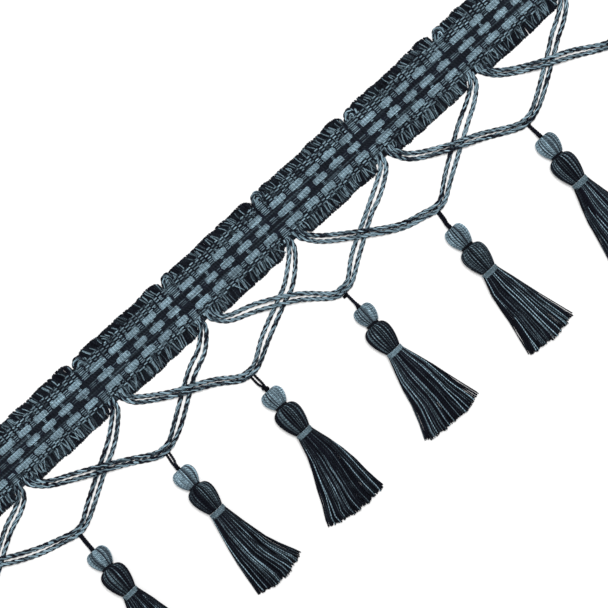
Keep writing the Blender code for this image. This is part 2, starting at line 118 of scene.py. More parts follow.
# Outline of the looped edges around one notch: distance along the heading, and height of the loops' tips
UPPER_TIPS = (
    (-0.0225, 0.0135), (-0.0105, 0.0136), (-0.0075, 0.0141), (-0.0058, 0.0141), (-0.0046, 0.0137),
    (-0.0039, 0.0129), (-0.0036, 0.0122), (-0.0034, 0.0101), (-0.0030, 0.0099), (-0.0027, 0.0118),
    (-0.0014, 0.0127), (0.0006, 0.0129), (0.0028, 0.0128), (0.0040, 0.0129), (0.0060, 0.0137),
    (0.0110, 0.0136), (0.0225, 0.0135),
)
LOWER_TIPS = (
    (-0.0225, -0.0149), (-0.0110, -0.0149), (-0.0070, -0.0149), (-0.0054, -0.0146), (-0.0047, -0.0137),
    (-0.0042, -0.0120), (-0.0034, -0.0121), (-0.0010, -0.0121), (0.0011, -0.0123), (0.0036, -0.0120),
    (0.0052, -0.0124), (0.0066, -0.0138), (0.0082, -0.0147), (0.0129, -0.0149), (0.0225, -0.0149),
)
UPPER_SLIT = -0.0033
CORD_GAP = (-0.0044, 0.0062)
TURN_SPAN = (-0.0029, 0.0041)
LOOP_LAY = 0.0012
LOOP_ROOT = 0.0005

# One loop: share of the way out, place across and height at each station; and the stations of a coarser one
HAIRPIN = np.array((
    (0.0, -0.5, 0.9), (0.28, -0.5, 1.15), (0.58, -0.52, 1.2), (0.84, -0.5, 1.1), (0.97, -0.32, 1.0),
    (1.0, 0.0, 0.9), (0.97, 0.32, 0.8), (0.84, 0.5, 0.8), (0.58, 0.52, 0.8), (0.28, 0.5, 0.75),
    (0.0, 0.5, 0.6),
))
COARSE_HAIRPIN = HAIRPIN[[0, 2, 4, 5, 6, 8, 10]]

# By notch: how far the swags and the turns over the upper edge lie from it, the height of the turn, and how
# many times as wide as elsewhere the lower loops stand apart
SWAG_DRIFT = (0.0, 0.0, -0.0008, 0.0013, 0.0002, -0.0006, 0.0001, 0.0001, 0.0, 0.0)
TURN_DRIFT = (0.0001, 0.0001, 0.0001, 0.0002, -0.0001, -0.0003, 0.0009, 0.0001, 0.0001, 0.0001)
TURN_TOPS = (0.0129, 0.0129, 0.0129, 0.0124, 0.0131, 0.0131, 0.0126, 0.0129, 0.0129, 0.0129)
LOWER_STRETCH = (1.0, 1.0, 1.0, 1.0, 1.0, 1.25, 1.06, 1.0, 1.0, 1.0)

# Turns over the upper edge: from and to, measured from the notch, and how much lower and how high each lies
TURN_ARCS = ((-0.0019, 0.0032, 0.0, 0.0016), (-0.0004, 0.0017, 0.0019, 0.0013))

# Swag cords: where they leave and reach the heading, and how they rise at the low point and at a crossing
CORD_SPACING = 0.00060
CORD_START = GROUND_EDGE + 0.0003
CORD_TUCK = 0.0006
LEAVING_OFFSET = 0.0036
ARRIVING_OFFSET = -0.0015
LEAVING_SLANT = (0.0008, 0.0036)
ARRIVING_SLANT = (0.0016, 0.0050)
ARRIVING_SPREAD = 0.0024
END_SPREAD = 0.0018
END_STRAIGHT = 0.0012
NARROW_SPREAD = 0.0020
LOW_REACH = 0.0050
LEFT_OF_LOW = 0.0012
RIGHT_OF_LOW = 0.0008
LOW_LIFT = 0.0012
LOW_FLAT = 0.0030
CROSSING_CLEARANCE = 0.0004
CROSSING_FLAT = 0.0062
LIFT_RAMP = 0.0090

# Plies: how much lighter they are painted on the top of a cord than under it (painted light), the diameters
# of cord in one turn of their own twist, and how far a cord's looser ends reach
TOP_LIGHT_SWING = 0.50
PLY_LAY = 2.0
LOOSE_REACH = 0.007
LOOSE_ENDS = (0.18, 0.08)

# Each swag, measured from the notch over it: where it crosses over the swag to its left, its low point, and
# at each of the places the height of its two cords' middle line and the distance between them
SWAG_PLACES = (-0.0420, -0.0300, -0.0150, 0.0150, 0.0300, 0.0360, 0.0420)
SWAGS = (
    (None, (0.0008, -0.0410),
     (-0.0190, -0.0257, -0.0340, -0.0325, -0.0234, -0.0204, -0.0182),
     (0.0024, 0.0028, 0.0026, 0.0028, 0.0027, 0.0028, 0.0028)),
    (-0.0290, (0.0035, -0.0415),
     (-0.0200, -0.0280, -0.0360, -0.0370, -0.0284, -0.0253, -0.0214),
     (0.0025, 0.0026, 0.0027, 0.0028, 0.0027, 0.0030, 0.0029)),
    (-0.0225, (0.0025, -0.0407),
     (-0.0188, -0.0247, -0.0322, -0.0358, -0.0261, -0.0230, -0.0204),
     (0.0021, 0.0026, 0.0021, 0.0031, 0.0030, 0.0033, 0.0030)),
    (-0.0250, (-0.0003, -0.0408),
     (-0.0179, -0.0255, -0.0330, -0.0342, -0.0275, -0.0249, -0.0203),
     (0.0024, 0.0020, 0.0022, 0.0031, 0.0030, 0.0034, 0.0032)),
    (-0.0205, (0.0008, -0.0413),
     (-0.0182, -0.0228, -0.0310, -0.0340, -0.0254, -0.0225, -0.0192),
     (0.0024, 0.0031, 0.0027, 0.0031, 0.0023, 0.0030, 0.0030)),
    (-0.0287, (0.0013, -0.0424),
     (-0.0197, -0.0283, -0.0378, -0.0357, -0.0263, -0.0228, -0.0195),
     (0.0026, 0.0022, 0.0014, 0.0029, 0.0036, 0.0035, 0.0032)),
    (-0.0255, (0.0028, -0.0410),
     (-0.0196, -0.0265, -0.0331, -0.0366, -0.0269, -0.0228, -0.0194),
     (0.0025, 0.0022, 0.0024, 0.0025, 0.0027, 0.0030, 0.0030)),
    (-0.0242, (0.0020, -0.0408),
     (-0.0188, -0.0261, -0.0329, -0.0350, -0.0265, -0.0232, -0.0200),
     (0.0021, 0.0021, 0.0027, 0.0026, 0.0028, 0.0028, 0.0026)),
)

# Turned pieces: profiles as shares of the largest radius and of the length, from the top down
SOLID_SIDES = 12
FLOOR_SPOT = 0.00015
SEAT_GAP = 0.0003
PROFILE_STATIONS = 15
PROFILE_SPACING = 0.01
BEAD_PROFILE = (
    (0.10, 0.14), (0.22, 0.05), (0.42, 0.00), (0.66, 0.02), (0.87, 0.12), (0.98, 0.27), (1.00, 0.42),
    (0.94, 0.60), (0.82, 0.77), (0.68, 0.91), (0.55, 1.00), (0.30, 1.01),
)
HEAD_PROFILE = (
    (0.30, 0.03), (0.47, 0.02), (0.62, 0.04), (0.82, 0.10), (0.95, 0.20), (1.00, 0.32), (0.99, 0.45),
    (0.92, 0.62), (0.80, 0.80), (0.66, 0.96), (0.60, 1.02),
)
YARN_RELIEF = 0.11
DARKER_YARNS = 12
LIGHTER_YARNS = 20
YARN_LAY = 0.0012
WOUND_THREAD = 0.00050
WOUND_LAY = 0.0018
BINDING_RADIUS = 0.00362
BINDING_TURNS = 6
NECK_RADIUS = 0.00268
NECK_WIDTH = 0.0021
NECK_TURNS = 5

# Yarns picked out on each bead and head: millimetres from the middle, and how light the yarn is
BEAD_LINES = (
    ((-2.9, 0.10), (-0.4, 0.30), (0.4, 0.05), (3.1, 0.15)),
    ((-1.9, 0.08), (-1.2, 0.20), (2.5, 0.05), (3.9, 0.12)),
    ((-0.3, 0.40), (1.2, 0.08), (1.9, 0.20), (2.6, 0.35)),
    ((-1.8, 0.10), (2.4, 0.45)),
    ((-4.2, 0.30), (-3.5, 0.45), (-2.8, 0.08), (-2.2, 0.65), (-1.6, 0.10), (-1.0, 0.60), (-0.4, 0.40),
     (0.3, 0.08), (0.9, 0.75)),
    ((-3.4, 0.15), (-1.9, 0.10), (-0.6, 0.02), (1.1, 0.05), (3.0, 0.35)),
    ((-3.4, 0.10), (-2.6, 0.15), (3.3, 0.10), (4.2, 0.15)),
    ((-2.2, 0.12), (1.5, 0.08), (3.6, 0.30)),
)
HEAD_LINES = (
    ((-3.6, 0.45), (-1.7, 0.85), (0.3, 0.40), (1.6, 0.75), (3.9, 0.50)),
    ((-3.1, 0.65), (-1.3, 0.85), (0.1, 0.60), (2.2, 0.95), (4.3, 0.40)),
    ((-2.6, 0.30), (1.3, 0.95), (3.3, 0.45), (4.3, 0.60)),
    ((-2.6, 0.75), (-2.1, 0.80), (0.9, 0.40), (3.0, 0.55), (4.6, 0.35)),
    ((-4.4, 0.45), (-2.9, 0.70), (-1.3, 0.80), (0.6, 0.50), (2.1, 0.75), (3.9, 0.55)),
    ((-3.6, 0.40), (-2.8, 0.50), (-1.5, 0.95), (0.9, 0.90), (2.1, 0.95), (3.4, 0.60), (4.3, 0.45)),
    ((-3.3, 0.75), (-1.3, 0.35), (1.4, 1.00), (3.3, 0.85)),
    ((-3.9, 0.50), (-2.2, 0.80), (0.4, 0.55), (1.9, 0.90), (3.6, 0.45)),
)

# Knots on each hanging loop: place from the middle of the bead's top, share of the bead's height, and width;
# and how far apart the legs of each hanging loop stand
LOOP_KNOTS = (
    ((0.0, 0.0008, 1.0, 0.0012),),
    ((0.0, 0.0006, 1.0, 0.0010),),
    ((0.0, 0.0010, 1.0, 0.0014),),
    ((-0.0005, 0.0026, 0.8, 0.0014), (0.0005, 0.0016, 1.0, 0.0014), (0.0, 0.0007, 1.0, 0.0010)),
    ((-0.0003, 0.0008, 1.0, 0.0012), (-0.0013, 0.0082, 0.2, 0.0016)),
    ((-0.0004, 0.0004, 1.0, 0.0012),),
    ((0.0, 0.0012, 1.0, 0.0012),),
    ((0.0, 0.0008, 1.0, 0.0012),),
)
LOOP_WIDTHS = (0.0009, 0.0009, 0.0014, 0.0016, 0.0003, 0.0010, 0.0007, 0.0009)
HANGING_DIAMETER = 0.00122
HANGING_LAY = 0.0024
HANGING_SPACING = 0.0004
KNOT_RADIUS = 0.00062
KNOT_THREAD = 0.0006
KNOT_TURNS = 3
KNOT_LAY = 0.0010

# Skirts: left and right side at the upper, middle and hem stations, measured from the notch, and the hem's
# height at its left end, middle and right end
SKIRTS = (
    ((-0.0056, -0.0086, -0.0125), (0.0076, 0.0098, 0.0130), (-0.1115, -0.1137, -0.1113)),
    ((-0.0055, -0.0085, -0.0125), (0.0097, 0.0115, 0.0145), (-0.1115, -0.1138, -0.1116)),
    ((-0.0044, -0.0069, -0.0086), (0.0077, 0.0104, 0.0161), (-0.1116, -0.1136, -0.1103)),
    ((-0.0069, -0.0132, -0.0193), (0.0068, 0.0086, 0.0101), (-0.1098, -0.1138, -0.1130)),
    ((-0.0079, -0.0106, -0.0160), (0.0069, 0.0099, 0.0137), (-0.1112, -0.1136, -0.1115)),
    ((-0.0061, -0.0076, -0.0107), (0.0065, 0.0097, 0.0143), (-0.1140, -0.1154, -0.1135)),
    ((-0.0056, -0.0083, -0.0117), (0.0082, 0.0110, 0.0135), (-0.1115, -0.1138, -0.1115)),
    ((-0.0062, -0.0092, -0.0130), (0.0070, 0.0093, 0.0122), (-0.1112, -0.1137, -0.1115)),
)
UPPER_STATION, MIDDLE_STATION, USUAL_HEM = -0.0860, -0.0980, -0.1135
SKIRT_ROOT_RADIUS = 0.0036
HALF_DEPTHS = (SKIRT_ROOT_RADIUS, SKIRT_ROOT_RADIUS, 0.0037, 0.0030, 0.0023)

# Strands: share in the outer layer, rounds in which they are laid, clumps they gather in, how far they
# wander and sway as shares of the skirt's half width, and how high up one has to lie to face up
OUTER_SHARE = 0.68
STRAND_ROUNDS = 9.0
CLUMPS = 16
WANDER = 0.007
SWAY = 0.055
FACING_DEPTH = 0.30
LOWEST_STRAND = 0.0002

# Stations along a strand, the fewer stations of one that faces down, and the strand's thickness there
STRAND_STATIONS = list(range(12))
COARSE_STRAND = [0, 2, 4, 6, 8, 10, 11]
STRAND_SWELL = np.array([0.9, 0.95, 1, 1, 1, 1, 1, 1, 1, 1, 1.05, 1.15])
LIGHT_STRAND_RISE = 0.00025

# Camera: straight above the stretch that it frames, with the heading rising to the right
VIEW_CENTRE = (0.0104, -0.0349)
VIEW_WIDTH = 0.2546
VIEW_TURN = 42.35
LENS = 150.0
SENSOR = 36.0
LAMP_PLACE = (0.10, 0.11, 1.35)
LAMP_SIZE = 0.35
FLOOR_SIZE = 8.0
FLOOR_DROP = 0.0001


# Settings

class FringeYarns(bpy.types.PropertyGroup):
    dark: bpy.props.FloatVectorProperty(
        name="Dark yarn", description="Colour of the navy yarn", subtype="COLOR", size=3,
        default=(0.0072, 0.0080, 0.0150), min=0.0, max=1.0,
    )
    light: bpy.props.FloatVectorProperty(
        name="Light yarn", description="Colour of the blue-grey yarn", subtype="COLOR", size=3,
        default=(0.280, 0.440, 0.540), min=0.0, max=1.0,
    )
    # The pale colour is a painted sheen: painted highlight mixed into the light yarn on its crests and raised
    # fibres.
    painted_sheen: bpy.props.FloatVectorProperty(
        name="Pale fibres", description="Colour of the raised fibres on the blue-grey yarn", subtype="COLOR",
        size=3, default=(0.400, 0.520, 0.590), min=0.0, max=1.0,
    )
    sheen: bpy.props.FloatProperty(
        name="Sheen", description="How much soft light the fibres' tips catch", default=0.006, min=0.0,
        max=1.0, subtype="FACTOR",
    )


class FringeHeading(bpy.types.PropertyGroup):
    weft_pitch: bpy.props.FloatProperty(
        name="Weft pitch", description="Distance between two weft threads", default=0.00058, unit="LENGTH",
        precision=5,
    )
    warp_pitch: bpy.props.FloatProperty(
        name="Warp pitch", description="Distance between two fine warp threads", default=0.00064,
        unit="LENGTH", precision=5,
    )
    loop_thread: bpy.props.FloatProperty(
        name="Loop thread", description="Thickness of the threads in the looped edges", default=0.00042,
        unit="LENGTH", precision=5,
    )


class FringeCords(bpy.types.PropertyGroup):
    diameter: bpy.props.FloatProperty(
        name="Diameter", description="Thickness of a swag cord", default=0.0021, unit="LENGTH", precision=5,
    )
    lay: bpy.props.FloatProperty(
        name="Lay", description="Length of one full turn of a cord's plies", default=0.0093, unit="LENGTH",
        precision=5,
    )
    plies: bpy.props.IntProperty(name="Plies", description="Plies in a swag cord", default=3, min=2, max=5)


class FringeTassels(bpy.types.PropertyGroup):
    strands: bpy.props.IntProperty(
        name="Strands", description="Cut strands in one skirt", default=330, min=60, max=400,
    )
    strand_thread: bpy.props.FloatProperty(
        name="Strand", description="Thickness of one cut strand", default=0.00038, unit="LENGTH", precision=5,
    )
    bead_yarns: bpy.props.IntProperty(
        name="Bead yarns", description="Yarns laid over a bead", default=50, min=12, max=90,
    )
    head_yarns: bpy.props.IntProperty(
        name="Head yarns", description="Yarns laid over a tassel's head", default=78, min=12, max=90,
    )


class FringeStage(bpy.types.PropertyGroup):
    floor: bpy.props.FloatVectorProperty(
        name="Floor", description="Colour of the floor", subtype="COLOR", size=3, default=(0.93, 0.93, 0.93),
        min=0.0, max=1.0,
    )
    sky: bpy.props.FloatProperty(
        name="Sky", description="Strength of the even light from all round", default=0.50, min=0.0, max=4.0,
    )
    lamp: bpy.props.FloatProperty(
        name="Lamp", description="Power of the soft lamp in watts", default=15.5, min=0.0, max=500.0,
    )


class FringeSettings(bpy.types.PropertyGroup):
    yarns: bpy.props.PointerProperty(type=FringeYarns, name="Yarns", description="Colours of the yarns")
    heading: bpy.props.PointerProperty(type=FringeHeading, name="Heading", description="Sizes of the weave")
    cords: bpy.props.PointerProperty(type=FringeCords, name="Cords", description="Sizes of the swag cords")
    tassels: bpy.props.PointerProperty(type=FringeTassels, name="Tassels", description="Sizes of the tassels")
    stage: bpy.props.PointerProperty(type=FringeStage, name="Stage", description="Floor and light")


def settings():
    return bpy.context.scene.tassel_fringe


# Yarn materials

class Nodes:
    """A material's nodes, added one after another."""

    def __init__(self, name):
        self.material = bpy.data.materials.new(name)
        self.material.use_nodes = True
        self.tree = self.material.node_tree
        self.shader = self.tree.nodes["Principled BSDF"]

    def add(self, kind, inputs, **values):
        node = self.tree.nodes.new(kind)
        for name, value in values.items():
            setattr(node, name, value)
        for key, source in inputs.items():
            self.link(source, node.inputs[key])
        return node

    def link(self, source, socket):
        if isinstance(source, bpy.types.NodeSocket):
            self.tree.links.new(source, socket)
        else:
            socket.default_value = source

    def math(self, operation, first, second=0.0):
        return self.add("ShaderNodeMath", {0: first, 1: second}, operation=operation).outputs[0]

    def scaled(self, value, factor, offset):
        return self.math("ADD", self.math("MULTIPLY", value, factor), offset)

    def wave(self, turns, size=0.5):
        """A cosine wave between 0 and 1. Its crests are at whole turns, or its troughs if size is -0.5."""
        return self.scaled(self.math("COSINE", self.math("MULTIPLY", turns, TURN)), size, 0.5)

    def noise(self, **inputs):
        return self.add("ShaderNodeTexNoise", inputs).outputs["Fac"]

    def mix(self, share, first, second):
        node = self.add("ShaderNodeMix", {}, data_type="RGBA")
        for key, source in (("Factor", share), ("A", first), ("B", second)):
            self.link(source, node.inputs[key])
        return node.outputs["Result"]

    def finish(self, colour, height, strength, depth, values):
        """Sets the shader's colour, relief and other values, and gives the material."""
        bump = self.add("ShaderNodeBump", {"Height": height, "Strength": strength, "Distance": depth})
        self.link(bump.outputs[0], self.shader.inputs["Normal"])
        self.link(colour, self.shader.inputs["Base Color"])
        values = {"Specular IOR Level": 0.05, "Sheen Weight": settings().yarns.sheen, **values}
        for name, value in values.items():
            self.shader.inputs[name].default_value = value
        return self.material


def rgba(colour):
    return (*colour, 1.0)


def yarn_inputs(nodes):
    """Where a point lies around its yarn, from 0 to 1, and along it, in turns of its twist; and the yarn's
    tone, from 0 for dark to 1 for light, and its own random number."""
    uv = nodes.add("ShaderNodeUVMap", {}, uv_map="Yarn").outputs[0]
    place = nodes.add("ShaderNodeSeparateXYZ", {0: uv})
    colour = nodes.add("ShaderNodeAttribute", {}, attribute_name="Tone").outputs["Color"]
    parts = nodes.add("ShaderNodeSeparateColor", {0: colour})
    return place.outputs["X"], place.outputs["Y"], parts.outputs["Red"], parts.outputs["Green"]


def finish_yarn(nodes, tone, own_number, around, along, groove, depth, wander, painted_light_gain):
    """Sets the colour, fibres and relief of a twisted yarn from its tone and the height of its twist. The
    colour carries painted shade in the twist's grooves and on the yarn's sides and underside, and a painted
    sheen on its crests.

    wander is how much the tone changes along the yarn, and the gain brightens or darkens the whole yarn:
    painted light, which makes one yarn brighter on the beads and bindings and darker on the heads than
    elsewhere."""
    yarns = settings().yarns
    apart = nodes.math("MULTIPLY", own_number, 37.0)
    spot = nodes.add("ShaderNodeCombineXYZ", {0: around, 1: along, 2: apart}).outputs[0]
    fuzz = nodes.noise(Vector=spot, Scale=1.7, Detail=4.0, Roughness=0.65)
    fibres = nodes.add("ShaderNodeMapRange", {"Value": fuzz, "From Min": 0.32, "From Max": 0.68}).outputs[0]
    drift = nodes.noise(Vector=spot, Scale=0.35, Detail=1.0)
    # Painted shade: crown is 1 on a yarn's top and falls to 0 on its sides and underside, and at the edges of
    # a yarn laid over a bead or head; with the groove it darkens the colour below, as painted shade in the
    # twist's grooves and between yarns. The fibres, drift and own number add the yarn's real mottle.
    crown = nodes.math("MAXIMUM", nodes.math("SINE", nodes.math("MULTIPLY", around, TURN)), 0.0)
    shade = nodes.scaled(fibres, 0.62 * painted_light_gain, nodes.scaled(groove, 0.78 * painted_light_gain, 0.03 * painted_light_gain))
    for part, low, span in ((crown, 0.22, 0.78), (drift, 0.50, 1.00), (own_number, 0.80, 0.40)):
        shade = nodes.math("MULTIPLY", shade, nodes.scaled(part, span, low))
    # Painted sheen: the light yarn turns towards the pale colour where the twist's crests and the fibres
    # stand highest, a painted highlight.
    light = nodes.mix(nodes.math("MULTIPLY", groove, fibres), rgba(yarns.light), rgba(yarns.painted_sheen))
    change = nodes.scaled(drift, 2 * wander, 1.0 - wander)
    colour = nodes.mix(nodes.math("MULTIPLY", tone, change), rgba(yarns.dark), light)
    shaded = nodes.add("ShaderNodeVectorMath", {0: colour}, operation="SCALE")
    nodes.link(shade, shaded.inputs["Scale"])
    values = {"Roughness": 0.85, "Sheen Roughness": 0.5, "Sheen Tint": (0.75, 0.88, 1.0, 1.0)}
    return nodes.finish(shaded.outputs[0], nodes.scaled(fibres, 0.5, groove), 0.7, depth, values)


def yarn_material(name, depth=0.00006, wander=0.3, painted_light_gain=1.0, plies=2.0):
    """A yarn of one or more plies, whose tone comes from its attribute."""
    nodes = Nodes(name)
    around, along, tone, own_number = yarn_inputs(nodes)
    groove = nodes.wave(nodes.scaled(around, plies, along))
    return finish_yarn(nodes, tone, own_number, around, along, groove, depth, wander, painted_light_gain)


def ply_material(name, yarns_in_ply=5.0, depth=0.00012):
    """A ply of a swag cord: several yarns of mixed tones, twisted against the cord."""
    nodes = Nodes(name)
    # The Tone attribute holds the share of light-coloured yarns in the ply, raised on the cord's top by
    # painted light.
    around, along, light_yarns_and_top_light, own_number = yarn_inputs(nodes)
    turn = nodes.math("SUBTRACT", nodes.math("MULTIPLY", around, yarns_in_ply), along)
    groove = nodes.wave(turn, -0.5)
    number = nodes.math("FLOORED_MODULO", nodes.math("FLOOR", turn), yarns_in_ply)
    seed = nodes.add("ShaderNodeCombineXYZ", {0: number, 1: nodes.math("MULTIPLY", own_number, 91.0)})
    noise = nodes.add("ShaderNodeTexWhiteNoise", {"Vector": seed.outputs[0]}, noise_dimensions="2D")
    chance = noise.outputs["Value"]
    ramp = {"Value": nodes.math("SUBTRACT", light_yarns_and_top_light, chance), "From Min": -0.06, "From Max": 0.10}
    tone = nodes.add("ShaderNodeMapRange", ramp).outputs[0]
    # The plies are brightened by a gain of 1.02: painted light.
    return finish_yarn(nodes, tone, chance, around, along, groove, depth, wander=1.2, painted_light_gain=1.02)


def weave_material(name):
    """The fine dark ground under the floats: thin weft and warp threads over and under each other."""
    nodes = Nodes(name)
    yarns = settings().yarns
    heading = settings().heading
    place = nodes.add("ShaderNodeSeparateXYZ", {0: nodes.add("ShaderNodeTexCoord", {}).outputs["Object"]})
    columns = nodes.math("MULTIPLY", place.outputs["X"], TURN / heading.weft_pitch)
    rows = nodes.math("MULTIPLY", place.outputs["Y"], math.pi / heading.warp_pitch)
    weave = nodes.math("MULTIPLY", nodes.math("SINE", columns), nodes.math("SINE", rows))
    height = nodes.scaled(weave, 0.5, 0.5)
    tone = nodes.math("MULTIPLY", nodes.math("MULTIPLY", height, nodes.noise(Scale=900.0, Detail=3.0)), 0.05)
    colour = nodes.mix(tone, rgba(yarns.dark), rgba(yarns.light))
    return nodes.finish(colour, height, 0.8, 0.0001, {"Roughness": 0.9})


# Yarns as tubes

def unit(vectors):
    return vectors / np.maximum(np.linalg.norm(vectors, axis=-1, keepdims=True), 1e-12)


def sides_of(lines, reference=UP):
    """Directions across and over each point of lines, square to their run."""
    tangent = unit(np.gradient(lines, axis=-2))
    across = unit(np.cross(tangent, np.asarray(reference, dtype=float)))
    return across, np.cross(across, tangent)


class YarnMesh:
    """Gathers yarns as closed tubes, and makes one mesh of them with their tones and twist."""

    def __init__(self):
        self.points = []
        self.corners = []
        self.face_sizes = []
        self.places = []
        self.tones = []
        self.total = 0

    def add(self, routes, radius, sides, tones, lay, numbers, reference=UP, flatness=1.0, scatter=7.0):
        """Adds yarns of one kind. routes has one row of points for each yarn.

        scatter is how many turns apart the yarns' twists may start."""
        routes = np.asarray(routes, dtype=float)
        numbers = np.asarray(numbers, dtype=float)
        count, stations = routes.shape[:2]
        radius = np.broadcast_to(radius, (count, stations))
        across, over = sides_of(routes, reference)
        angle = TURN * np.arange(sides) / sides
        wide = across[:, :, None] * np.cos(angle)[:, None]
        tall = flatness * over[:, :, None] * np.sin(angle)[:, None]
        points = routes[:, :, None] + radius[:, :, None, None] * (wide + tall)
        self.points.append(points.reshape(-1, 3))

        steps = np.linalg.norm(np.diff(routes, axis=1), axis=2)
        turns = np.concatenate([np.zeros((count, 1)), np.cumsum(steps, axis=1)], axis=1) / lay
        turns = turns + scatter * numbers[:, None]
        station = np.arange(stations - 1)[:, None] * sides
        side = np.arange(sides)[None]
        near, far = station + side, station + (side + 1) % sides
        walls = np.stack([near, near + sides, far + sides, far], -1)
        first = self.total + np.arange(count) * stations * sides
        wall_corners = (first[:, None, None] + walls.reshape(1, -1, 4)).reshape(-1)
        start_cap = first[:, None] + np.arange(sides)
        end_cap = first[:, None] + (stations - 1) * sides + np.arange(sides)[::-1]
        self.corners += [wall_corners, start_cap.reshape(-1), end_cap.reshape(-1)]
        self.face_sizes += [np.full(len(wall_corners) // 4, 4), np.full(2 * count, sides)]

        around = np.stack([side, side, side + 1, side + 1], -1) / sides
        around = np.broadcast_to(around, (count, stations - 1, sides, 4))
        low, high = turns[:, :-1, None], turns[:, 1:, None]
        along = np.broadcast_to(np.stack([low, high, high, low], -1), around.shape)
        self.places.append(np.stack([around, along], -1).reshape(-1, 2))
        cap_around = np.broadcast_to(np.arange(sides) / sides, (count, sides))
        for turn in (turns[:, :1], turns[:, -1:]):
            cap_along = np.broadcast_to(turn, cap_around.shape)
            self.places.append(np.stack([cap_around, cap_along], -1).reshape(-1, 2))

        tones = np.asarray(tones, dtype=float)
        tones = tones[:, None] if tones.ndim == 1 else tones
        tones = np.broadcast_to(tones, (count, stations))[:, :, None]
        shape = (count, stations, sides)
        layers = [np.broadcast_to(values, shape) for values in (tones, numbers[:, None, None], 0.0, 1.0)]
        self.tones.append(np.stack(layers, -1).reshape(-1, 4))
        self.total += count * stations * sides

    def build(self, name, material):
        points = np.concatenate(self.points)
        points[:, 2] = np.maximum(points[:, 2], 0.0)
        corners = np.concatenate(self.corners)
        sizes = np.concatenate(self.face_sizes)
        mesh = bpy.data.meshes.new(name)
        mesh.vertices.add(len(points))
        mesh.vertices.foreach_set("co", points.reshape(-1))
        mesh.loops.add(len(corners))
        mesh.loops.foreach_set("vertex_index", corners)
        mesh.polygons.add(len(sizes))
        mesh.polygons.foreach_set("loop_start", np.concatenate([[0], np.cumsum(sizes)[:-1]]))
        mesh.polygons.foreach_set("use_smooth", np.ones(len(sizes), dtype=bool))
        mesh.update(calc_edges=True)
        mesh.uv_layers.new(name="Yarn").data.foreach_set("uv", np.concatenate(self.places).reshape(-1))
        tones = mesh.color_attributes.new(name="Tone", type="FLOAT_COLOR", domain="POINT")
        tones.data.foreach_set("color", np.concatenate(self.tones).reshape(-1))
        mesh.materials.append(material)
        obj = bpy.data.objects.new(name, mesh)
        bpy.context.collection.objects.link(obj)
        return obj


def place_piece(obj, slot, *nodes):
    """Makes a finished piece part of the trim, in place of the named solids."""
    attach(obj, "root")
    if nodes:
        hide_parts(*nodes)


def travelled(line):
    """How far along a line each of its points lies."""
    return np.concatenate([[0.0], np.cumsum(np.linalg.norm(np.diff(line, axis=0), axis=1))])


def resample(line, count):
    """The same line with count points, evenly spaced."""
    lengths = travelled(line)
    stops = np.linspace(0.0, lengths[-1], count)
    return np.stack([np.interp(stops, lengths, values) for values in line.T], -1)


def route_length(route):
    return float(travelled(route)[-1])


def spread_evenly(line, spacing):
    return resample(line, max(2, math.ceil(route_length(line) / spacing)) + 1)


def smooth_points(points, spacing):
    """Points at an even spacing along a smooth curve through the given ones."""
    ends = [2 * points[0] - points[1], *points, 2 * points[-1] - points[-2]]
    fine = []
    for a, b, c, d in zip(ends, ends[1:], ends[2:], ends[3:]):
        for t in np.arange(24) / 24:
            bend = (2 * a - 5 * b + 4 * c - d) * t**2 + (3 * b - a - 3 * c + d) * t**3
            fine.append(b + 0.5 * ((c - a) * t + bend))
    fine.append(points[-1])
    return spread_evenly(np.array(fine), spacing)


def add_twisted_cord(
    yarn_mesh, route, diameter, lay, plies, rng, sides=7, light=0.24, flatness=1.0, ply_share=0.235,
    swell=(0.0, 0.0),
):
    """Lays the plies of a cord around its route, with a right-hand twist.

    swell is how much looser its start and its end are."""
    across, over = sides_of(route)
    lengths = travelled(route)
    size = 1.0
    for looser, from_end in zip(swell, (lengths, lengths[-1] - lengths)):
        size = size + looser * np.clip(1.5 - from_end / LOOSE_REACH, 0.0, 1.0)
    ply_radius = diameter * ply_share * size
    reach = (diameter * size / 2 - ply_radius)[:, None]
    start = rng.uniform(0, TURN)
    for ply in range(plies):
        angle = (start + TURN * (lengths / lay + ply / plies))[:, None]
        outward = across * np.cos(angle) - flatness * over * np.sin(angle)
        # Painted light: a ply's tone rises as it comes over the top of the cord and falls at the sides and
        # underneath, added to the share of light-coloured yarns it holds.
        tones = np.clip(light - TOP_LIGHT_SWING * np.sin(angle[:, 0]), 0.0, 1.0)
        ply_route = route + reach * outward
        ply_lay = diameter * PLY_LAY
        yarn_mesh.add(ply_route[None], ply_radius[None], sides, tones[None], ply_lay, [rng.random()])


# Stage

def make_floor():
    bpy.ops.object.select_all(action="DESELECT")
    bpy.ops.mesh.primitive_plane_add(size=FLOOR_SIZE, location=(*VIEW_CENTRE, -FLOOR_DROP))
    floor = bpy.context.object
    floor.name = "Floor"
    bpy.ops.object.transform_apply(location=True, rotation=False, scale=False)
    nodes = Nodes("Floor_Paper")
    nodes.shader.inputs["Base Color"].default_value = rgba(settings().stage.floor)
    nodes.shader.inputs["Roughness"].default_value = 1.0
    nodes.shader.inputs["Specular IOR Level"].default_value = 0.0
    floor.data.materials.append(nodes.material)
    floor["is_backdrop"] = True


def make_lights():
    stage = settings().stage
    x, y = VIEW_CENTRE
    world = bpy.data.worlds.new("Studio")
    world.use_nodes = True
    background = world.node_tree.nodes["Background"]
    background.inputs["Color"].default_value = (1.0, 1.0, 1.0, 1.0)
    background.inputs["Strength"].default_value = stage.sky
    bpy.context.scene.world = world
    bpy.ops.object.light_add(type="AREA", location=(x + LAMP_PLACE[0], y + LAMP_PLACE[1], LAMP_PLACE[2]))
    lamp = bpy.context.object
    lamp.name = "Soft_Lamp"
    lamp.data.shape = "DISK"
    lamp.data.size = LAMP_SIZE
    lamp.data.energy = stage.lamp
    aim = Vector((x, y, 0.0)) - lamp.location
    lamp.rotation_euler = aim.to_track_quat("-Z", "Y").to_euler()


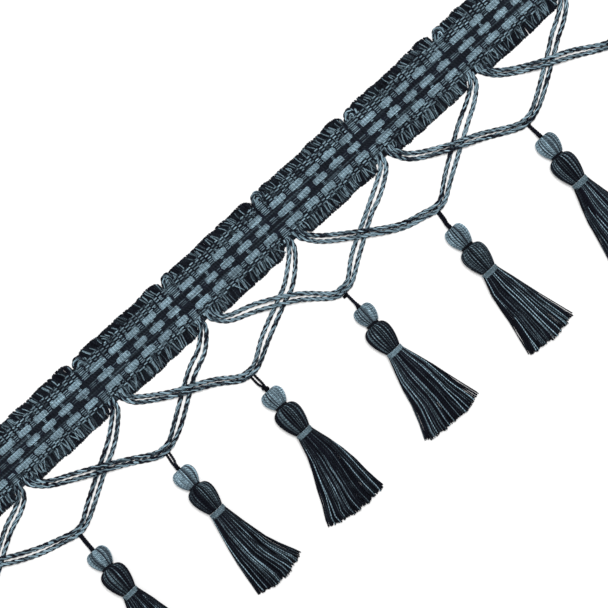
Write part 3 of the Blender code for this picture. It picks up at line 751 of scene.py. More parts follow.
def make_camera():
    bpy.ops.object.camera_add()
    camera = bpy.context.object
    camera.name = "Camera"
    camera.data.lens = LENS
    camera.data.sensor_width = SENSOR
    camera.location = (*VIEW_CENTRE, VIEW_WIDTH * LENS / SENSOR)
    camera.rotation_euler = (0.0, 0.0, -math.radians(VIEW_TURN))
    camera.data.clip_end = 20.0
    bpy.context.scene.camera = camera


class FRINGE_OT_stage(bpy.types.Operator):
    """Set up the floor, the lights and the camera"""
    bl_idname = "fringe.stage"
    bl_label = "Stage"

    def execute(self, context):
        context.scene.view_settings.view_transform = "Standard"
        make_floor()
        make_lights()
        make_camera()
        return {"FINISHED"}


# Swag cords

def lift(distance, flat):
    """One over the flat stretch around zero, easing to nothing past it."""
    t = min(1.0, max(0.0, (abs(distance) - flat) / LIFT_RAMP))
    return 1.0 - t * t * (3.0 - 2.0 * t)


def swag_middle_line(number):
    """Points along the middle line of a swag, measured from its notch, each with the spread of its cords."""
    _, (low_x, low_y), heights, spreads = SWAGS[number - 1]
    places = list(zip(SWAG_PLACES, heights, spreads))
    start_x = -REPEAT + SWAG_DRIFT[number - 1] + LEAVING_OFFSET
    end_x = REPEAT + SWAG_DRIFT[number + 1] + ARRIVING_OFFSET
    return np.array((
        (start_x, -CORD_START - END_STRAIGHT, END_SPREAD),
        (start_x + LEAVING_SLANT[0], -CORD_START - LEAVING_SLANT[1], END_SPREAD),
        *places[:3],
        (low_x - LOW_REACH, low_y + LEFT_OF_LOW, NARROW_SPREAD),
        (low_x, low_y, NARROW_SPREAD),
        (low_x + LOW_REACH, low_y + RIGHT_OF_LOW, NARROW_SPREAD),
        *places[3:],
        (end_x - ARRIVING_SLANT[0], -CORD_START - ARRIVING_SLANT[1], ARRIVING_SPREAD),
        (end_x, -CORD_START - END_STRAIGHT, END_SPREAD),
    ))


def swag_route(number, side):
    """Route of one cord of a swag; side is 1 for the upper cord and -1 for the lower one."""
    crossing, (low_x, _), _, _ = SWAGS[number - 1]
    points = smooth_points(swag_middle_line(number), CORD_SPACING)
    ahead = np.gradient(points[:, :2], axis=0)
    across = unit(np.stack([-ahead[:, 1], ahead[:, 0]], -1))
    across[0], across[-1] = (1.0, 0.0), (-1.0, 0.0)
    diameter = settings().cords.diameter
    crossing_lift = diameter + CROSSING_CLEARANCE
    route = []
    for (x, y, spread), (across_x, across_y) in zip(points, across):
        height = LOW_LIFT * lift(x - low_x, LOW_FLAT)
        if crossing is not None:
            height = max(height, crossing_lift * lift(x - crossing, CROSSING_FLAT))
        offset = side * max(spread, NARROW_SPREAD) / 2
        route.append((notch_x(number) + x + across_x * offset, y + across_y * offset, diameter / 2 + height))
    start, end = ((place[0], -CORD_START + CORD_TUCK, place[2]) for place in (route[0], route[-1]))
    return spread_evenly(np.array([start, *route, end]), CORD_SPACING)


class FRINGE_OT_swag_cords(bpy.types.Operator):
    """Twist the paired cords of the swags out of their plies"""
    bl_idname = "fringe.swag_cords"
    bl_label = "Swag cords"

    def execute(self, context):
        cords = settings().cords
        material = ply_material("Twisted_Cord")
        for number in NUMBERS:
            for label, side in (("upper", 1), ("lower", -1)):
                rng = np.random.default_rng(100 + 2 * number + side)
                route = swag_route(number, side)
                yarn_mesh = YarnMesh()
                add_twisted_cord(
                    yarn_mesh, route, cords.diameter, cords.lay, cords.plies, rng, swell=LOOSE_ENDS,
                )
                obj = yarn_mesh.build(f"Swag_Cord_{number}_{label}", material)
                place_piece(obj, "cord", f"swag_{number}_{label}")
        return {"FINISHED"}


# Heading

def woven_x(number, place):
    """Where a place in the repeat after a notch lies: the weave drifts a little in the middle of a repeat."""
    if 0 <= number < len(WEAVE_DRIFT):
        place += WEAVE_DRIFT[number] * math.sin(math.pi * min(place, REPEAT) / REPEAT)
    return notch_x(number) + place


def nearest_offset(x, drift=None):
    """Distance from the nearest notch. drift is how far each notch is out of place."""
    if drift is not None:
        x = x - np.interp(x, NOTCH_PLACES, drift)
    return (x - notch_x(0) + REPEAT / 2) % REPEAT - REPEAT / 2


class FRINGE_OT_heading_ground(bpy.types.Operator):
    """Lay the ground of the heading, a strip of fine cloth"""
    bl_idname = "fringe.heading_ground"
    bl_label = "Heading ground"

    def execute(self, context):
        bpy.ops.object.select_all(action="DESELECT")
        bpy.ops.mesh.primitive_grid_add(x_subdivisions=190, y_subdivisions=10, size=2.0, location=(0, 0, 0))
        ground = context.object
        ground.name = "Heading_Ground"
        bpy.ops.object.mode_set(mode="EDIT")
        bpy.ops.mesh.select_all(action="SELECT")
        bpy.ops.transform.resize(value=(HEADING_END, GROUND_EDGE, 1.0), center_override=(0, 0, 0))
        bpy.ops.transform.translate(value=(0, 0, GROUND_TOP))
        bpy.ops.object.mode_set(mode="OBJECT")
        solidify = ground.modifiers.new("Cloth", "SOLIDIFY")
        solidify.thickness = GROUND_TOP
        solidify.offset = -1.0
        bpy.ops.object.modifier_apply(modifier="Cloth")
        ground.data.materials.append(weave_material("Ground_Weave"))
        place_piece(ground, "braid", "heading")
        return {"FINISHED"}


def float_routes(start, end, low, high, yarns, top, rng):
    """Yarns side by side that rise out of the ground, float flat and dive back into it."""
    pitch = (high - low) / yarns
    routes = []
    for index in range(yarns):
        y = low + pitch * (index + 0.5) + rng.normal(0, 0.00002)
        edge = abs(index - (yarns - 1) / 2) / ((yarns - 1) / 2)
        left = start + 0.0002 * edge**3 + rng.uniform(-0.00020, 0.00015)
        right = end - 0.0002 * edge**3 - rng.uniform(-0.00020, 0.00015)
        x = left + (right - left) * FLOAT_SHARE
        z = GROUND_TOP + 0.0001 + (top - GROUND_TOP) * FLOAT_RISE - 0.00006 * edge**2
        routes.append(np.stack([x, np.full(len(x), y), z], -1))
    return routes


class FRINGE_OT_heading_floats(bpy.types.Operator):
    """Float the thick light and dark warp yarns over the ground"""
    bl_idname = "fringe.heading_floats"
    bl_label = "Heading floats"

    def execute(self, context):
        rng = np.random.default_rng(7)
        self.lay_floats(
            "Light_Floats", "light_yarn", LIGHT_ROWS, LIGHT_FLOATS, rng,
            yarns=5, top=0.00175, overlap=0.0, radius=0.00028,
        )
        self.lay_floats(
            "Dark_Floats", "dark_yarn", DARK_ROWS, DARK_FLOATS, rng,
            yarns=4, top=0.00155, overlap=0.0001, radius=0.00033,
        )
        return {"FINISHED"}

    def lay_floats(self, name, slot, rows, floats, rng, yarns, top, overlap, radius):
        """All floats of one colour, each of some yarns side by side. overlap is how far they pass a row."""
        routes = []
        for low, high in rows:
            for number in range(-1, REPEATS + 2):
                for start, end in floats:
                    left = max(woven_x(number, start) - rng.uniform(-0.0001, 0.0002), -HEADING_END)
                    right = min(woven_x(number, end) + rng.uniform(-0.0001, 0.0002), HEADING_END)
                    if right - left < SHORTEST_FLOAT:
                        continue
                    shift = rng.normal(0, 0.00008)
                    side_low, side_high = low - overlap + shift, high + overlap + shift
                    routes += float_routes(left, right, side_low, side_high, yarns, top, rng)
        count = len(routes)
        if slot == "light_yarn":
            tones = np.where(rng.random(count) < 0.12, 0.62, rng.normal(0.93, 0.07, count))
        else:
            tones = np.where(rng.random(count) < 0.25, rng.uniform(0.06, 0.20, count), 0.025)
        tones = np.clip(tones, 0.0, 1.0)
        yarn_mesh = YarnMesh()
        yarn_mesh.add(routes, radius, 6, tones, FLOAT_LAY, rng.random(count), flatness=0.85, scatter=0.0)
        place_piece(yarn_mesh.build(name, yarn_material(name)), slot)


class FRINGE_OT_heading_threads(bpy.types.Operator):
    """Weave the fine threads that show between the floats"""
    bl_idname = "fringe.heading_threads"
    bl_label = "Heading threads"

    def execute(self, context):
        rng = np.random.default_rng(11)
        heading = settings().heading
        self.lay_weft(heading, rng)
        stitches = [
            *self.strip_stitches(heading, rng), *self.pillar_stitches(rng), *self.gap_stitches(rng),
            *self.tick_stitches(rng),
        ]
        routes = []
        tones = []
        sizes = []
        for x, y, half, tone, size in stitches:
            x = x + rng.normal(0, 0.00012)
            half = max(0.0003, half + rng.normal(0, 0.00012))
            if abs(x) > HEADING_END - half - 0.0003:
                continue
            line_y = np.full(len(STITCH_SHARE), y + rng.normal(0, 0.00004))
            z = GROUND_TOP + 0.00042 - 0.0006 * np.abs(STITCH_SHARE) ** 4
            routes.append(np.stack([x + STITCH_SHARE * half, line_y, z], -1))
            tones.append(tone)
            sizes.append(size)
        yarn_mesh = YarnMesh()
        radius = STITCH_RADIUS * np.array(sizes)[:, None] * STITCH_SIZE
        yarn_mesh.add(routes, radius, 4, tones, STITCH_LAY, rng.random(len(routes)), flatness=0.7)
        # The fine warp is brightened by a gain of 1.05: painted light.
        place_piece(yarn_mesh.build("Fine_Warp", yarn_material("Fine_Warp", wander=0.8, painted_light_gain=1.05)), "braid")
        return {"FINISHED"}

    # Each of these yields the middle, half length, tone and thickness of one stitch after another.

    def strip_stitches(self, heading, rng):
        """Light stitches of the ground strips, side by side in every second column of each row."""
        for low, high in BARE_STRIPS:
            rows = np.arange(low + 0.00040, high - 0.0001, heading.warp_pitch)
            for row, y in enumerate(rows):
                for column in range(int(2 * HEADING_END / STITCH_COLUMN)):
                    x = -HEADING_END + (column + 0.5) * STITCH_COLUMN
                    if (column + row) % 2 or PILLAR[0] < nearest_offset(x) < PILLAR[1]:
                        continue
                    tone = rng.choice([0.15, 0.5, 0.8, 1.1], p=[0.15, 0.25, 0.3, 0.3])
                    yield x, y, rng.uniform(0.0008, 0.0012), tone, 1.0
            for x in np.arange(-HEADING_END, HEADING_END, STRAY_STITCH_STEP):
                yield x + rng.uniform(0.0, 0.0025), rng.choice(rows), 0.0006, rng.uniform(0.3, 0.75), 1.0

    def pillar_stitches(self, rng):
        """Longer light stitches one above another at each notch."""
        for y in np.arange(-GROUND_EDGE + 0.0004, GROUND_EDGE, PILLAR_ROW):
            if any(low - 0.0002 < y < high + 0.0002 for low, high in DARK_ROWS):
                continue
            faint = 0.5 if LIGHT_ROWS[1][0] < y < LIGHT_ROWS[1][1] else 1.0
            for number in NOTCHES:
                middle = notch_x(number) + (PILLAR[0] + PILLAR[1]) / 2
                yield middle, y, 0.0017, faint * rng.uniform(0.3, 1.0), 0.8
                if rng.random() < 0.6:
                    yield middle + 0.0023, y, 0.0005, faint * rng.uniform(0.2, 0.7), 0.8

    def gap_stitches(self, rng):
        """Three light stitches in each gap between light floats, and two faint ones in the middle row."""
        outer_row = ((-0.00085, 0.0, 0.00085), (0.5, 1.1))
        middle_row = ((-0.0005, 0.0005), (0.08, 0.40))
        for (low, high), (places, tones) in zip(LIGHT_ROWS, (outer_row, middle_row, outer_row)):
            for (_, start), (end, _) in zip(LIGHT_FLOATS, LIGHT_FLOATS[1:]):
                for number in range(-1, REPEATS + 1):
                    x = woven_x(number, (start + end) / 2)
                    half = (end - start) / 2 - 0.0005
                    for place in places:
                        yield x, (low + high) / 2 + place, half, rng.uniform(*tones), 0.62

    def tick_stitches(self, rng):
        """Two light stitches with a fainter one between them in each gap between dark floats."""
        for low, high in DARK_ROWS:
            ends = [DARK_FLOATS[-1][1] - REPEAT, *(end for _, end in DARK_FLOATS[:-1])]
            for start, (end, _) in zip(ends, DARK_FLOATS):
                for number in range(-1, REPEATS + 1):
                    x, y = woven_x(number, (start + end) / 2), (low + high) / 2
                    middle_tone = rng.choice([0.1, 0.5, 0.9])
                    for place, tone in ((-0.00068, 0.95), (0.0, middle_tone), (0.00068, 0.95)):
                        yield x, y + place, (end - start) / 2, tone * rng.uniform(0.5, 1.1), 0.78

    def lay_weft(self, heading, rng):
        """Dark weft threads over the ground strips."""
        yarn_mesh = YarnMesh()
        count = int(2 * HEADING_END / heading.weft_pitch)
        xs = -HEADING_END + (np.arange(count) + 0.5) * heading.weft_pitch
        for low, high in BARE_STRIPS:
            stops = int(round((high - low) / heading.warp_pitch)) + 1
            y = np.linspace(low - 0.0003, high + 0.0003, stops)
            routes = []
            for x in xs:
                z = GROUND_TOP + 0.00012 + rng.normal(0, 0.00006, stops)
                drift = np.cumsum(rng.normal(0, 0.00003, stops))
                routes.append(np.stack([x + drift, y, z], -1))
            tones = rng.choice([0.02, 0.10, 0.28], p=[0.65, 0.2, 0.15], size=count)
            yarn_mesh.add(routes, WEFT_RADIUS, 3, tones, WEFT_LAY, rng.random(count), flatness=0.8)
        place_piece(yarn_mesh.build("Weft", yarn_material("Weft", wander=1.0)), "braid")


def tuft_heights(xs, rng):
    """Unevenness of the loops' tips: rounded tufts a few millimetres wide, each with its own lean."""
    edges = [xs[0] - 0.001]
    while edges[-1] < xs[-1]:
        edges.append(edges[-1] + rng.uniform(0.0030, 0.0058))
    edges = np.array(edges)
    index = np.clip(np.searchsorted(edges, xs) - 1, 0, len(edges) - 2)
    share = (xs - edges[index]) / (edges[index + 1] - edges[index])
    tall = rng.uniform(-0.0006, 0.0006, len(edges))[index]
    lean = rng.normal(0.0, 0.10, len(edges))[index]
    return tall + 0.0004 * (1 - np.abs(2 * share - 1) ** 3) - 0.0002, lean + 0.25 * (share - 0.5)


def hairpins(shape, xs, tips, lean, base, width, level, rng):
    """Loops from the heading's edge out to their tips and back. base and tips are signed heights."""
    out, sideways, swell = shape.T
    reach = tips - base
    y = base + reach[:, None] * out
    bow = rng.normal(0, 0.00018, len(xs))[:, None] * np.sin(math.pi * out)
    x = xs[:, None] + width[:, None] * sideways + lean[:, None] * np.abs(reach)[:, None] * out + bow
    z = level[:, None] * swell
    return np.stack([x, y, z], -1)


class FRINGE_OT_edge_loops(bpy.types.Operator):
    """Turn the weft out in short loops along both edges of the heading"""
    bl_idname = "fringe.edge_loops"
    bl_label = "Edge loops"

    def execute(self, context):
        self.lay_edge("Upper_Loops", 1.0, UPPER_TIPS, TURN_SPAN, -0.42, np.random.default_rng(3))
        self.lay_edge("Lower_Loops", -1.0, LOWER_TIPS, CORD_GAP, -0.12, np.random.default_rng(4))
        return {"FINISHED"}

    def lay_edge(self, name, sign, tips_table, gap, lean_mean, rng):
        """Three layers of loops: a dark one, a mixed one and single light threads on top."""
        thread = settings().heading.loop_thread
        upper = sign > 0
        yarn_mesh = YarnMesh()
        layers = (
            # pitch, thickness, sides, height above the floor, share that are light, their tones
            (0.00040, thread * 1.20, 3, 0.00040, 0.04, (0.10, 0.25)),
            (0.00046, thread, 4, 0.00090, 0.12 if upper else 0.22, (0.10, 0.35)),
            (0.00060, thread * (0.66 if upper else 0.76), 4, 0.00135, 1.0, (0.40, 1.1)),
        )
        for layer, (pitch, thickness, sides, level, light, light_tones) in enumerate(layers):
            lowest, on_top = layer == 0, layer == 2
            xs = np.arange(-HEADING_END + 0.0006, HEADING_END - 0.0004, pitch)
            xs = xs + rng.normal(0, pitch * 0.25, len(xs))
            offsets = nearest_offset(xs, TURN_DRIFT if upper else SWAG_DRIFT)
            in_gap = (offsets > gap[0]) & (offsets < gap[1])
            if not upper:
                offsets = offsets / np.interp(xs, NOTCH_PLACES, LOWER_STRETCH)
            if on_top:
                keep = ~in_gap & (rng.random(len(xs)) < self.light_share(xs, upper, rng))
                xs, offsets, in_gap = xs[keep], offsets[keep], in_gap[keep]
            count = len(xs)

            extra, lean = tuft_heights(xs, rng)
            extra = extra * 0.6 if lowest else extra - 0.0003
            extra = np.where(np.abs(offsets) > 0.0065, extra, 0.3 * extra)
            tips = np.interp(offsets, *zip(*tips_table)) + sign * extra
            tips = tips + sign * rng.normal(-0.0001, 0.00006, count)
            lean = lean * (0.15 if lowest else 1.0) + lean_mean + rng.normal(0.0, 0.05, count)
            if on_top:
                tips = tips - sign * rng.uniform(0.0002, 0.0016, count)
                lean = lean + rng.normal(0.0, 0.12 if upper else 0.22, count)
            if upper:
                tips = np.where(in_gap, tips - 0.0009, tips)
                near = np.clip(np.abs(offsets - UPPER_SLIT) / 0.0045, 0.1, 1.0)
                lean = lean * np.where(offsets < UPPER_SLIT, near, 1.0)
            lean = np.where(in_gap, 0.0, lean)

            width = rng.uniform(0.8, 1.4, count) * (0.45 * thread if on_top else thread)
            height = np.where(in_gap, 0.5, 1.0) * (level + rng.normal(0, 0.00009, count))
            shape = HAIRPIN if on_top else COARSE_HAIRPIN
            routes = hairpins(shape, xs, tips, lean, sign * (GROUND_EDGE - LOOP_ROOT), width, height, rng)
            is_light = rng.random(count) < light
            tones = np.where(is_light, rng.uniform(*light_tones, count), rng.uniform(0.0, 0.04, count))
            yarn_mesh.add(routes, thickness / 2, sides, tones, LOOP_LAY, rng.random(count))
        place_piece(yarn_mesh.build(name, yarn_material(name, wander=0.7)), "braid")

    def light_share(self, xs, upper, rng):
        """How often a light thread lies at each place: thinly, and close together in a few tufts."""
        share = np.full(len(xs), 0.24 if upper else 0.42)
        step = 0.017
        for start in np.arange(-HEADING_END, HEADING_END, step):
            middle = start + rng.uniform(0.0, step)
            share[np.abs(xs - middle) < rng.uniform(0.0005, 0.0010)] = 1.0
        return share


class FRINGE_OT_notch_turns(bpy.types.Operator):
    """Turn the swag cords over the heading's upper edge at each notch"""
    bl_idname = "fringe.notch_turns"
    bl_label = "Notch turns"

    def execute(self, context):
        cords = settings().cords
        rng = np.random.default_rng(23)
        yarn_mesh = YarnMesh()
        base = GROUND_EDGE - 0.0004
        turn = np.linspace(math.pi, 0.0, 25)
        for number in NOTCHES:
            for start, end, inset, level in TURN_ARCS:
                x = notch_x(number) + TURN_DRIFT[number] + (start + end) / 2
                x = x + (end - start) / 2 * np.cos(turn) + 0.0002 * np.sin(turn)
                y = base + (TURN_TOPS[number] - inset - base) * np.sin(turn) ** 0.8
                z = level - 0.0004 + 0.0004 * np.sin(turn)
                route = spread_evenly(np.stack([x, y, z], -1), CORD_SPACING)
                add_twisted_cord(
                    yarn_mesh, route, cords.diameter, cords.lay * 0.75, cords.plies, rng, light=0.12,
                    flatness=0.8,
                )
        place_piece(yarn_mesh.build("Notch_Turns", ply_material("Notch_Turn_Cord")), "braid")
        return {"FINISHED"}


# Beads, heads and bindings

def axis_height(radius):
    """How high the axis of a turned solid lies when it rests on its small flat spot."""
    return radius * math.cos(math.pi / SOLID_SIDES) - FLOOR_SPOT


def bead_sizes(number):
    """Middle, top, radius and length of a bead, from its solid."""
    low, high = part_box(f"bead_{number}")
    radius = (high[0] - low[0]) / 2 / math.cos(math.pi / SOLID_SIDES)
    return (low[0] + high[0]) / 2, high[1], radius, high[1] - low[1]


def binding_sizes(number):
    """Middle, top, axis height and width of a binding, from its solid."""
    low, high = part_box(f"binding_{number}")
    return (low[0] + high[0]) / 2, high[1], (low[2] + high[2]) / 2, high[1] - low[1]


def head_sizes(number):
    """Top, radius and length of a tassel's head, from the bead over it and the binding under it."""
    _, bead_top, _, bead_length = bead_sizes(number)
    _, binding_top, height, _ = binding_sizes(number)
    top = bead_top - bead_length - SEAT_GAP
    radius = (height + FLOOR_SPOT) / math.cos(math.pi / SOLID_SIDES)
    return top, radius, top - binding_top - SEAT_GAP


def turn_profile(name, profile, columns):
    """Raises a ring through the profile's stations by extruding and resizing it, and closes both ends."""
    bpy.ops.object.select_all(action="DESELECT")
    radius, height = profile[0]
    bpy.ops.mesh.primitive_circle_add(vertices=columns, radius=radius, calc_uvs=False, location=(0, 0, 0))
    obj = bpy.context.object
    obj.name = name
    bpy.ops.object.mode_set(mode="EDIT")
    bpy.ops.mesh.select_all(action="SELECT")
    bpy.ops.transform.translate(value=(0, 0, -height))
    bpy.ops.mesh.edge_face_add()
    for (radius, height), (next_radius, next_height) in zip(profile, profile[1:]):
        bpy.ops.mesh.extrude_region_move(TRANSFORM_OT_translate={"value": (0, 0, height - next_height)})
        share = next_radius / radius
        bpy.ops.transform.resize(value=(share, share, 1.0), center_override=(0, 0, -next_height))
    bpy.ops.mesh.select_all(action="SELECT")
    bpy.ops.mesh.normals_make_consistent(inside=False)
    bpy.ops.object.mode_set(mode="OBJECT")
    bpy.ops.object.shade_smooth()
    return obj


def lay_yarns(mesh, yarns, tones, numbers, foot_shade):
    """Raises a mesh's yarns as ridges from end to end, and gives each its tone and twist.

    The last argument is how much of its lightness a yarn loses towards the foot: painted shade, darker
    towards the foot."""
    points = np.empty(3 * len(mesh.vertices))
    mesh.vertices.foreach_get("co", points)
    points = points.reshape(-1, 3)
    place = np.arctan2(points[:, 1], points[:, 0]) / TURN * yarns
    ridge = np.abs(np.sin(math.pi * place)) ** 0.7
    points[:, :2] *= (1.0 - YARN_RELIEF * (1.0 - ridge))[:, None]
    mesh.vertices.foreach_set("co", points.reshape(-1))
    centres = np.empty(3 * len(mesh.polygons))
    mesh.polygons.foreach_get("center", centres)
    corners_each = np.empty(len(mesh.polygons), dtype=int)
    mesh.polygons.foreach_get("loop_total", corners_each)
    vertex = np.empty(len(mesh.loops), dtype=int)
    mesh.loops.foreach_get("vertex_index", vertex)
    middle = np.repeat(np.arctan2(centres[1::3], centres[0::3]) / TURN * yarns, corners_each)
    own = np.floor(middle).astype(int) % yarns
    place = place[vertex]
    place += yarns * np.round((middle - place) / yarns)
    height = points[vertex, 2]
    turns = height / YARN_LAY + 7.0 * numbers[own]
    # Painted shade: each yarn darkens towards the foot of the piece.
    tone = tones[own] * (1.0 - foot_shade * height / height.min())
    mesh.uv_layers.new(name="Yarn")
    mesh.color_attributes.new(name="Tone", type="FLOAT_COLOR", domain="CORNER")
    uv = np.stack([0.5 * (place - np.floor(middle)), turns], -1)
    mesh.uv_layers["Yarn"].data.foreach_set("uv", uv.reshape(-1))
    colour = np.stack([tone, numbers[own], np.zeros(len(own)), np.ones(len(own))], -1)
    mesh.color_attributes["Tone"].data.foreach_set("color", colour.reshape(-1))


def covered_piece(name, profile, radius, length, tones, lines, foot_shade, rng, material):
    """A core covered with yarns from its top to its foot. lines are the yarns whose tones are picked out."""
    yarns = len(tones)
    for distance, tone in lines:
        angle = -math.acos(max(-0.98, min(0.98, distance / 1000 / radius))) / TURN
        tones[math.floor(angle * yarns) % yarns] = tone
    line = smooth_points([np.array(point) for point in profile], PROFILE_SPACING)
    obj = turn_profile(name, resample(line, PROFILE_STATIONS) * (radius, length), 4 * yarns)
    lay_yarns(obj.data, yarns, np.clip(tones, 0.0, 1.0), rng.random(yarns), foot_shade)
    obj.data.materials.append(material)
    return obj


def lay_down(mesh, middle, top, height):
    """Lays a turned mesh with its top at the given place and its axis along -Y, flat on the floor."""
    mesh.transform(Matrix.Translation((middle, top, height)) @ Matrix.Rotation(-math.pi / 2, 4, "X"))
    for vert in mesh.vertices:
        vert.co.z = max(vert.co.z, 0.0)
    mesh.update()


class FRINGE_OT_beads(bpy.types.Operator):
    """Cover each bead with light yarn and a few dark ones"""
    bl_idname = "fringe.beads"
    bl_label = "Beads"

    def execute(self, context):
        # The bead's yarn is the light yarn brightened by a gain of 1.30 (painted light), and its yarns lose
        # 0.42 of their lightness towards the foot (painted shade).
        material = yarn_material("Bead_Yarn", 0.00012, wander=0.5, painted_light_gain=1.30)
        yarns = settings().tassels.bead_yarns
        for number, lines in zip(NUMBERS, BEAD_LINES):
            rng = np.random.default_rng(200 + number)
            middle, top, radius, length = bead_sizes(number)
            tones = rng.normal(0.85, 0.20, yarns)
            tones[rng.choice(yarns, DARKER_YARNS, replace=False)] = rng.uniform(0.15, 0.40, DARKER_YARNS)
            obj = covered_piece(
                f"Bead_{number}_Yarn", BEAD_PROFILE, radius, length, tones, lines, 0.42, rng, material,
            )
            lay_down(obj.data, middle, top, axis_height(radius))
            place_piece(obj, "light_yarn", f"bead_{number}")
        return {"FINISHED"}


class FRINGE_OT_tassel_heads(bpy.types.Operator):
    """Cover each tassel's head with dark yarn and a few light ones"""
    bl_idname = "fringe.tassel_heads"
    bl_label = "Tassel heads"

    def execute(self, context):
        # The head's yarn is darkened by a gain of 0.85 (painted shade), and its yarns lose 0.65 of their
        # lightness towards the foot (painted shade).
        material = yarn_material("Head_Yarn", 0.00012, wander=1.0, painted_light_gain=0.85, plies=1.0)
        yarns = settings().tassels.head_yarns
        for number, lines in zip(NUMBERS, HEAD_LINES):
            rng = np.random.default_rng(300 + number)
            middle, _, height, _ = binding_sizes(number)
            top, radius, length = head_sizes(number)
            tones = rng.uniform(0.0, 0.03, yarns)
            tones[rng.choice(yarns, LIGHTER_YARNS, replace=False)] = rng.uniform(0.08, 0.50, LIGHTER_YARNS)
            obj = covered_piece(
                f"Tassel_{number}_Head", HEAD_PROFILE, radius, length, tones, lines, 0.65, rng, material,
            )
            lay_down(obj.data, middle, top, height)
            place_piece(obj, "dark_yarn")
        return {"FINISHED"}


def wind_thread(yarn_mesh, place, radius, width, thread, turns, swell, tone, rng, lay=WOUND_LAY):
    """Winds one thread around the axis of a tassel. place is the winding's middle, top and axis height."""
    middle, top, height = place
    angle = np.linspace(0.0, TURN * turns, 22 * turns + 1)
    x = middle + radius * np.cos(angle)
    z = height + radius * np.sin(angle)
    y = top - thread / 2 - (width - thread) * angle / angle[-1]
    routes = np.stack([x, y, z], -1)[None]
    yarn_mesh.add(routes, thread / 2 * swell, 6, [tone], lay, [rng.random()], reference=(0, 1, 0))


class FRINGE_OT_bindings(bpy.types.Operator):
    """Wind the light bindings and the dark thread between bead and head"""
    bl_idname = "fringe.bindings"
    bl_label = "Bindings"

    def execute(self, context):
        # The binding thread is brightened by a gain of 1.36: painted light.
        material = yarn_material("Binding_Thread", painted_light_gain=1.36)
        for number in NUMBERS:
            rng = np.random.default_rng(400 + number)
            middle, top, height, width = binding_sizes(number)
            binding = YarnMesh()
            place = (middle, top, height)
            wind_thread(binding, place, BINDING_RADIUS, width, WOUND_THREAD, BINDING_TURNS, 1.12, 0.9, rng)
            obj = binding.build(f"Binding_{number}_Thread", material)
            place_piece(obj, "light_yarn", f"binding_{number}")
            bead_middle, _, bead_radius, _ = bead_sizes(number)
            neck_height = (height + axis_height(bead_radius)) / 2
            place = ((middle + bead_middle) / 2, head_sizes(number)[0] + 0.0010, neck_height)
            neck = YarnMesh()
            wind_thread(neck, place, NECK_RADIUS, NECK_WIDTH, WOUND_THREAD, NECK_TURNS, 1.1, 0.02, rng)
            place_piece(neck.build(f"Neck_{number}_Thread", material), "dark_yarn")
        return {"FINISHED"}


# Skirts and hanging loops

def skirt_strands(number, count, rng):
    """Routes of the cut strands of one skirt, from the binding to the hem, and which of them face up."""
    left_side, right_side, (left_y, middle_y, right_y) = SKIRTS[number - 1]
    middle, binding_top, height, width = binding_sizes(number)
    root_y = binding_top - width
    root = (SKIRT_ROOT_RADIUS, SKIRT_ROOT_RADIUS * 1.06)
    left = [middle - reach for reach in root] + [notch_x(number) + x for x in left_side]
    right = [middle + reach for reach in root] + [notch_x(number) + x for x in right_side]
    start_y, flare_y = root_y + 0.0012, root_y - 0.0008

    outer = rng.random(count) < OUTER_SHARE
    angle = TURN * (np.arange(count) / count * STRAND_ROUNDS % 1.0) + rng.normal(0, 0.06, count)
    size = np.where(outer, rng.uniform(0.92, 1.0, count), np.sqrt(rng.uniform(0.05, 0.80, count)))
    across = size * np.cos(angle)
    depth = size * np.sin(angle)
    even = 2 / math.pi * np.arcsin(np.clip(across, -1, 1))
    clumps = rng.uniform(-1.0, 1.0, CLUMPS)
    clump = clumps[np.argmin(np.abs(even[:, None] - clumps), axis=1)]
    bow = middle_y - (left_y + right_y) / 2
    hem = left_y + (right_y - left_y) * (even + 1) / 2 + bow * (1 - even**2)
    hem = hem + rng.uniform(-0.0004, 0.0009, count) + 0.0004 * np.sin(clump * 40.0)

    stations = len(STRAND_STATIONS)
    run = np.linspace(0.0, 1.0, stations) ** 0.9
    y = start_y + (hem - start_y)[:, None] * run

    def at(values, hem_y):
        return np.interp(-y, [-start_y, -flare_y, -UPPER_STATION, -MIDDLE_STATION, -hem_y], values)

    spread = np.clip((flare_y - y) / (flare_y - USUAL_HEM), 0, 1)
    flat = across[:, None] + (even - across)[:, None] * np.minimum(1.0, spread * 1.6)
    pull = np.where(size > 0.9, 0.08, 0.0)
    flat = 1.09 * flat + (pull * (clump - even))[:, None] * spread**2
    wander = np.cumsum(rng.normal(0, WANDER, (count, stations)), axis=1) * spread
    wave = rng.uniform(0.0, 1.0, count)[:, None] + rng.uniform(0.5, 1.2, count)[:, None] * run
    sway = SWAY * rng.uniform(-1.0, 1.0, count)[:, None] * np.sin(TURN * wave) * np.sqrt(spread)
    flat = np.clip(flat + wander + sway, -1.0, 1.0) + 0.2 * wander
    left_x = at(left, left_y)
    right_x = at(right, right_y)
    x = (left_x + right_x) / 2 + (right_x - left_x) / 2 * flat
    half = at(HALF_DEPTHS, middle_y)
    sinking = np.interp(y, [UPPER_STATION, flare_y], [HALF_DEPTHS[2], height])
    level = np.where(y > UPPER_STATION, sinking, half)
    z = level + half * depth[:, None] * 0.95
    return np.stack([x, y, np.maximum(z, LOWEST_STRAND)], -1), outer & (depth > FACING_DEPTH)


def skirt_tones(across, facing, rng):
    """Mostly dark strands, and among those that face up, light ones alone and in pairs."""
    tones = rng.uniform(0.0, 0.01, len(across))
    middling = rng.random(len(across)) < 0.18
    tones[middling] = rng.uniform(0.04, 0.16, middling.sum())
    top = np.flatnonzero(facing)
    order = top[np.argsort(across[top])]
    place = int(rng.integers(0, 4))
    while place < len(order):
        run = int(rng.choice([1, 2], p=[0.8, 0.2]))
        tones[order[place:place + run]] = rng.choice([0.25, 0.50, 0.80, 1.15], p=[0.25, 0.20, 0.20, 0.35])
        place += run + int(rng.integers(3, 10))
    return tones


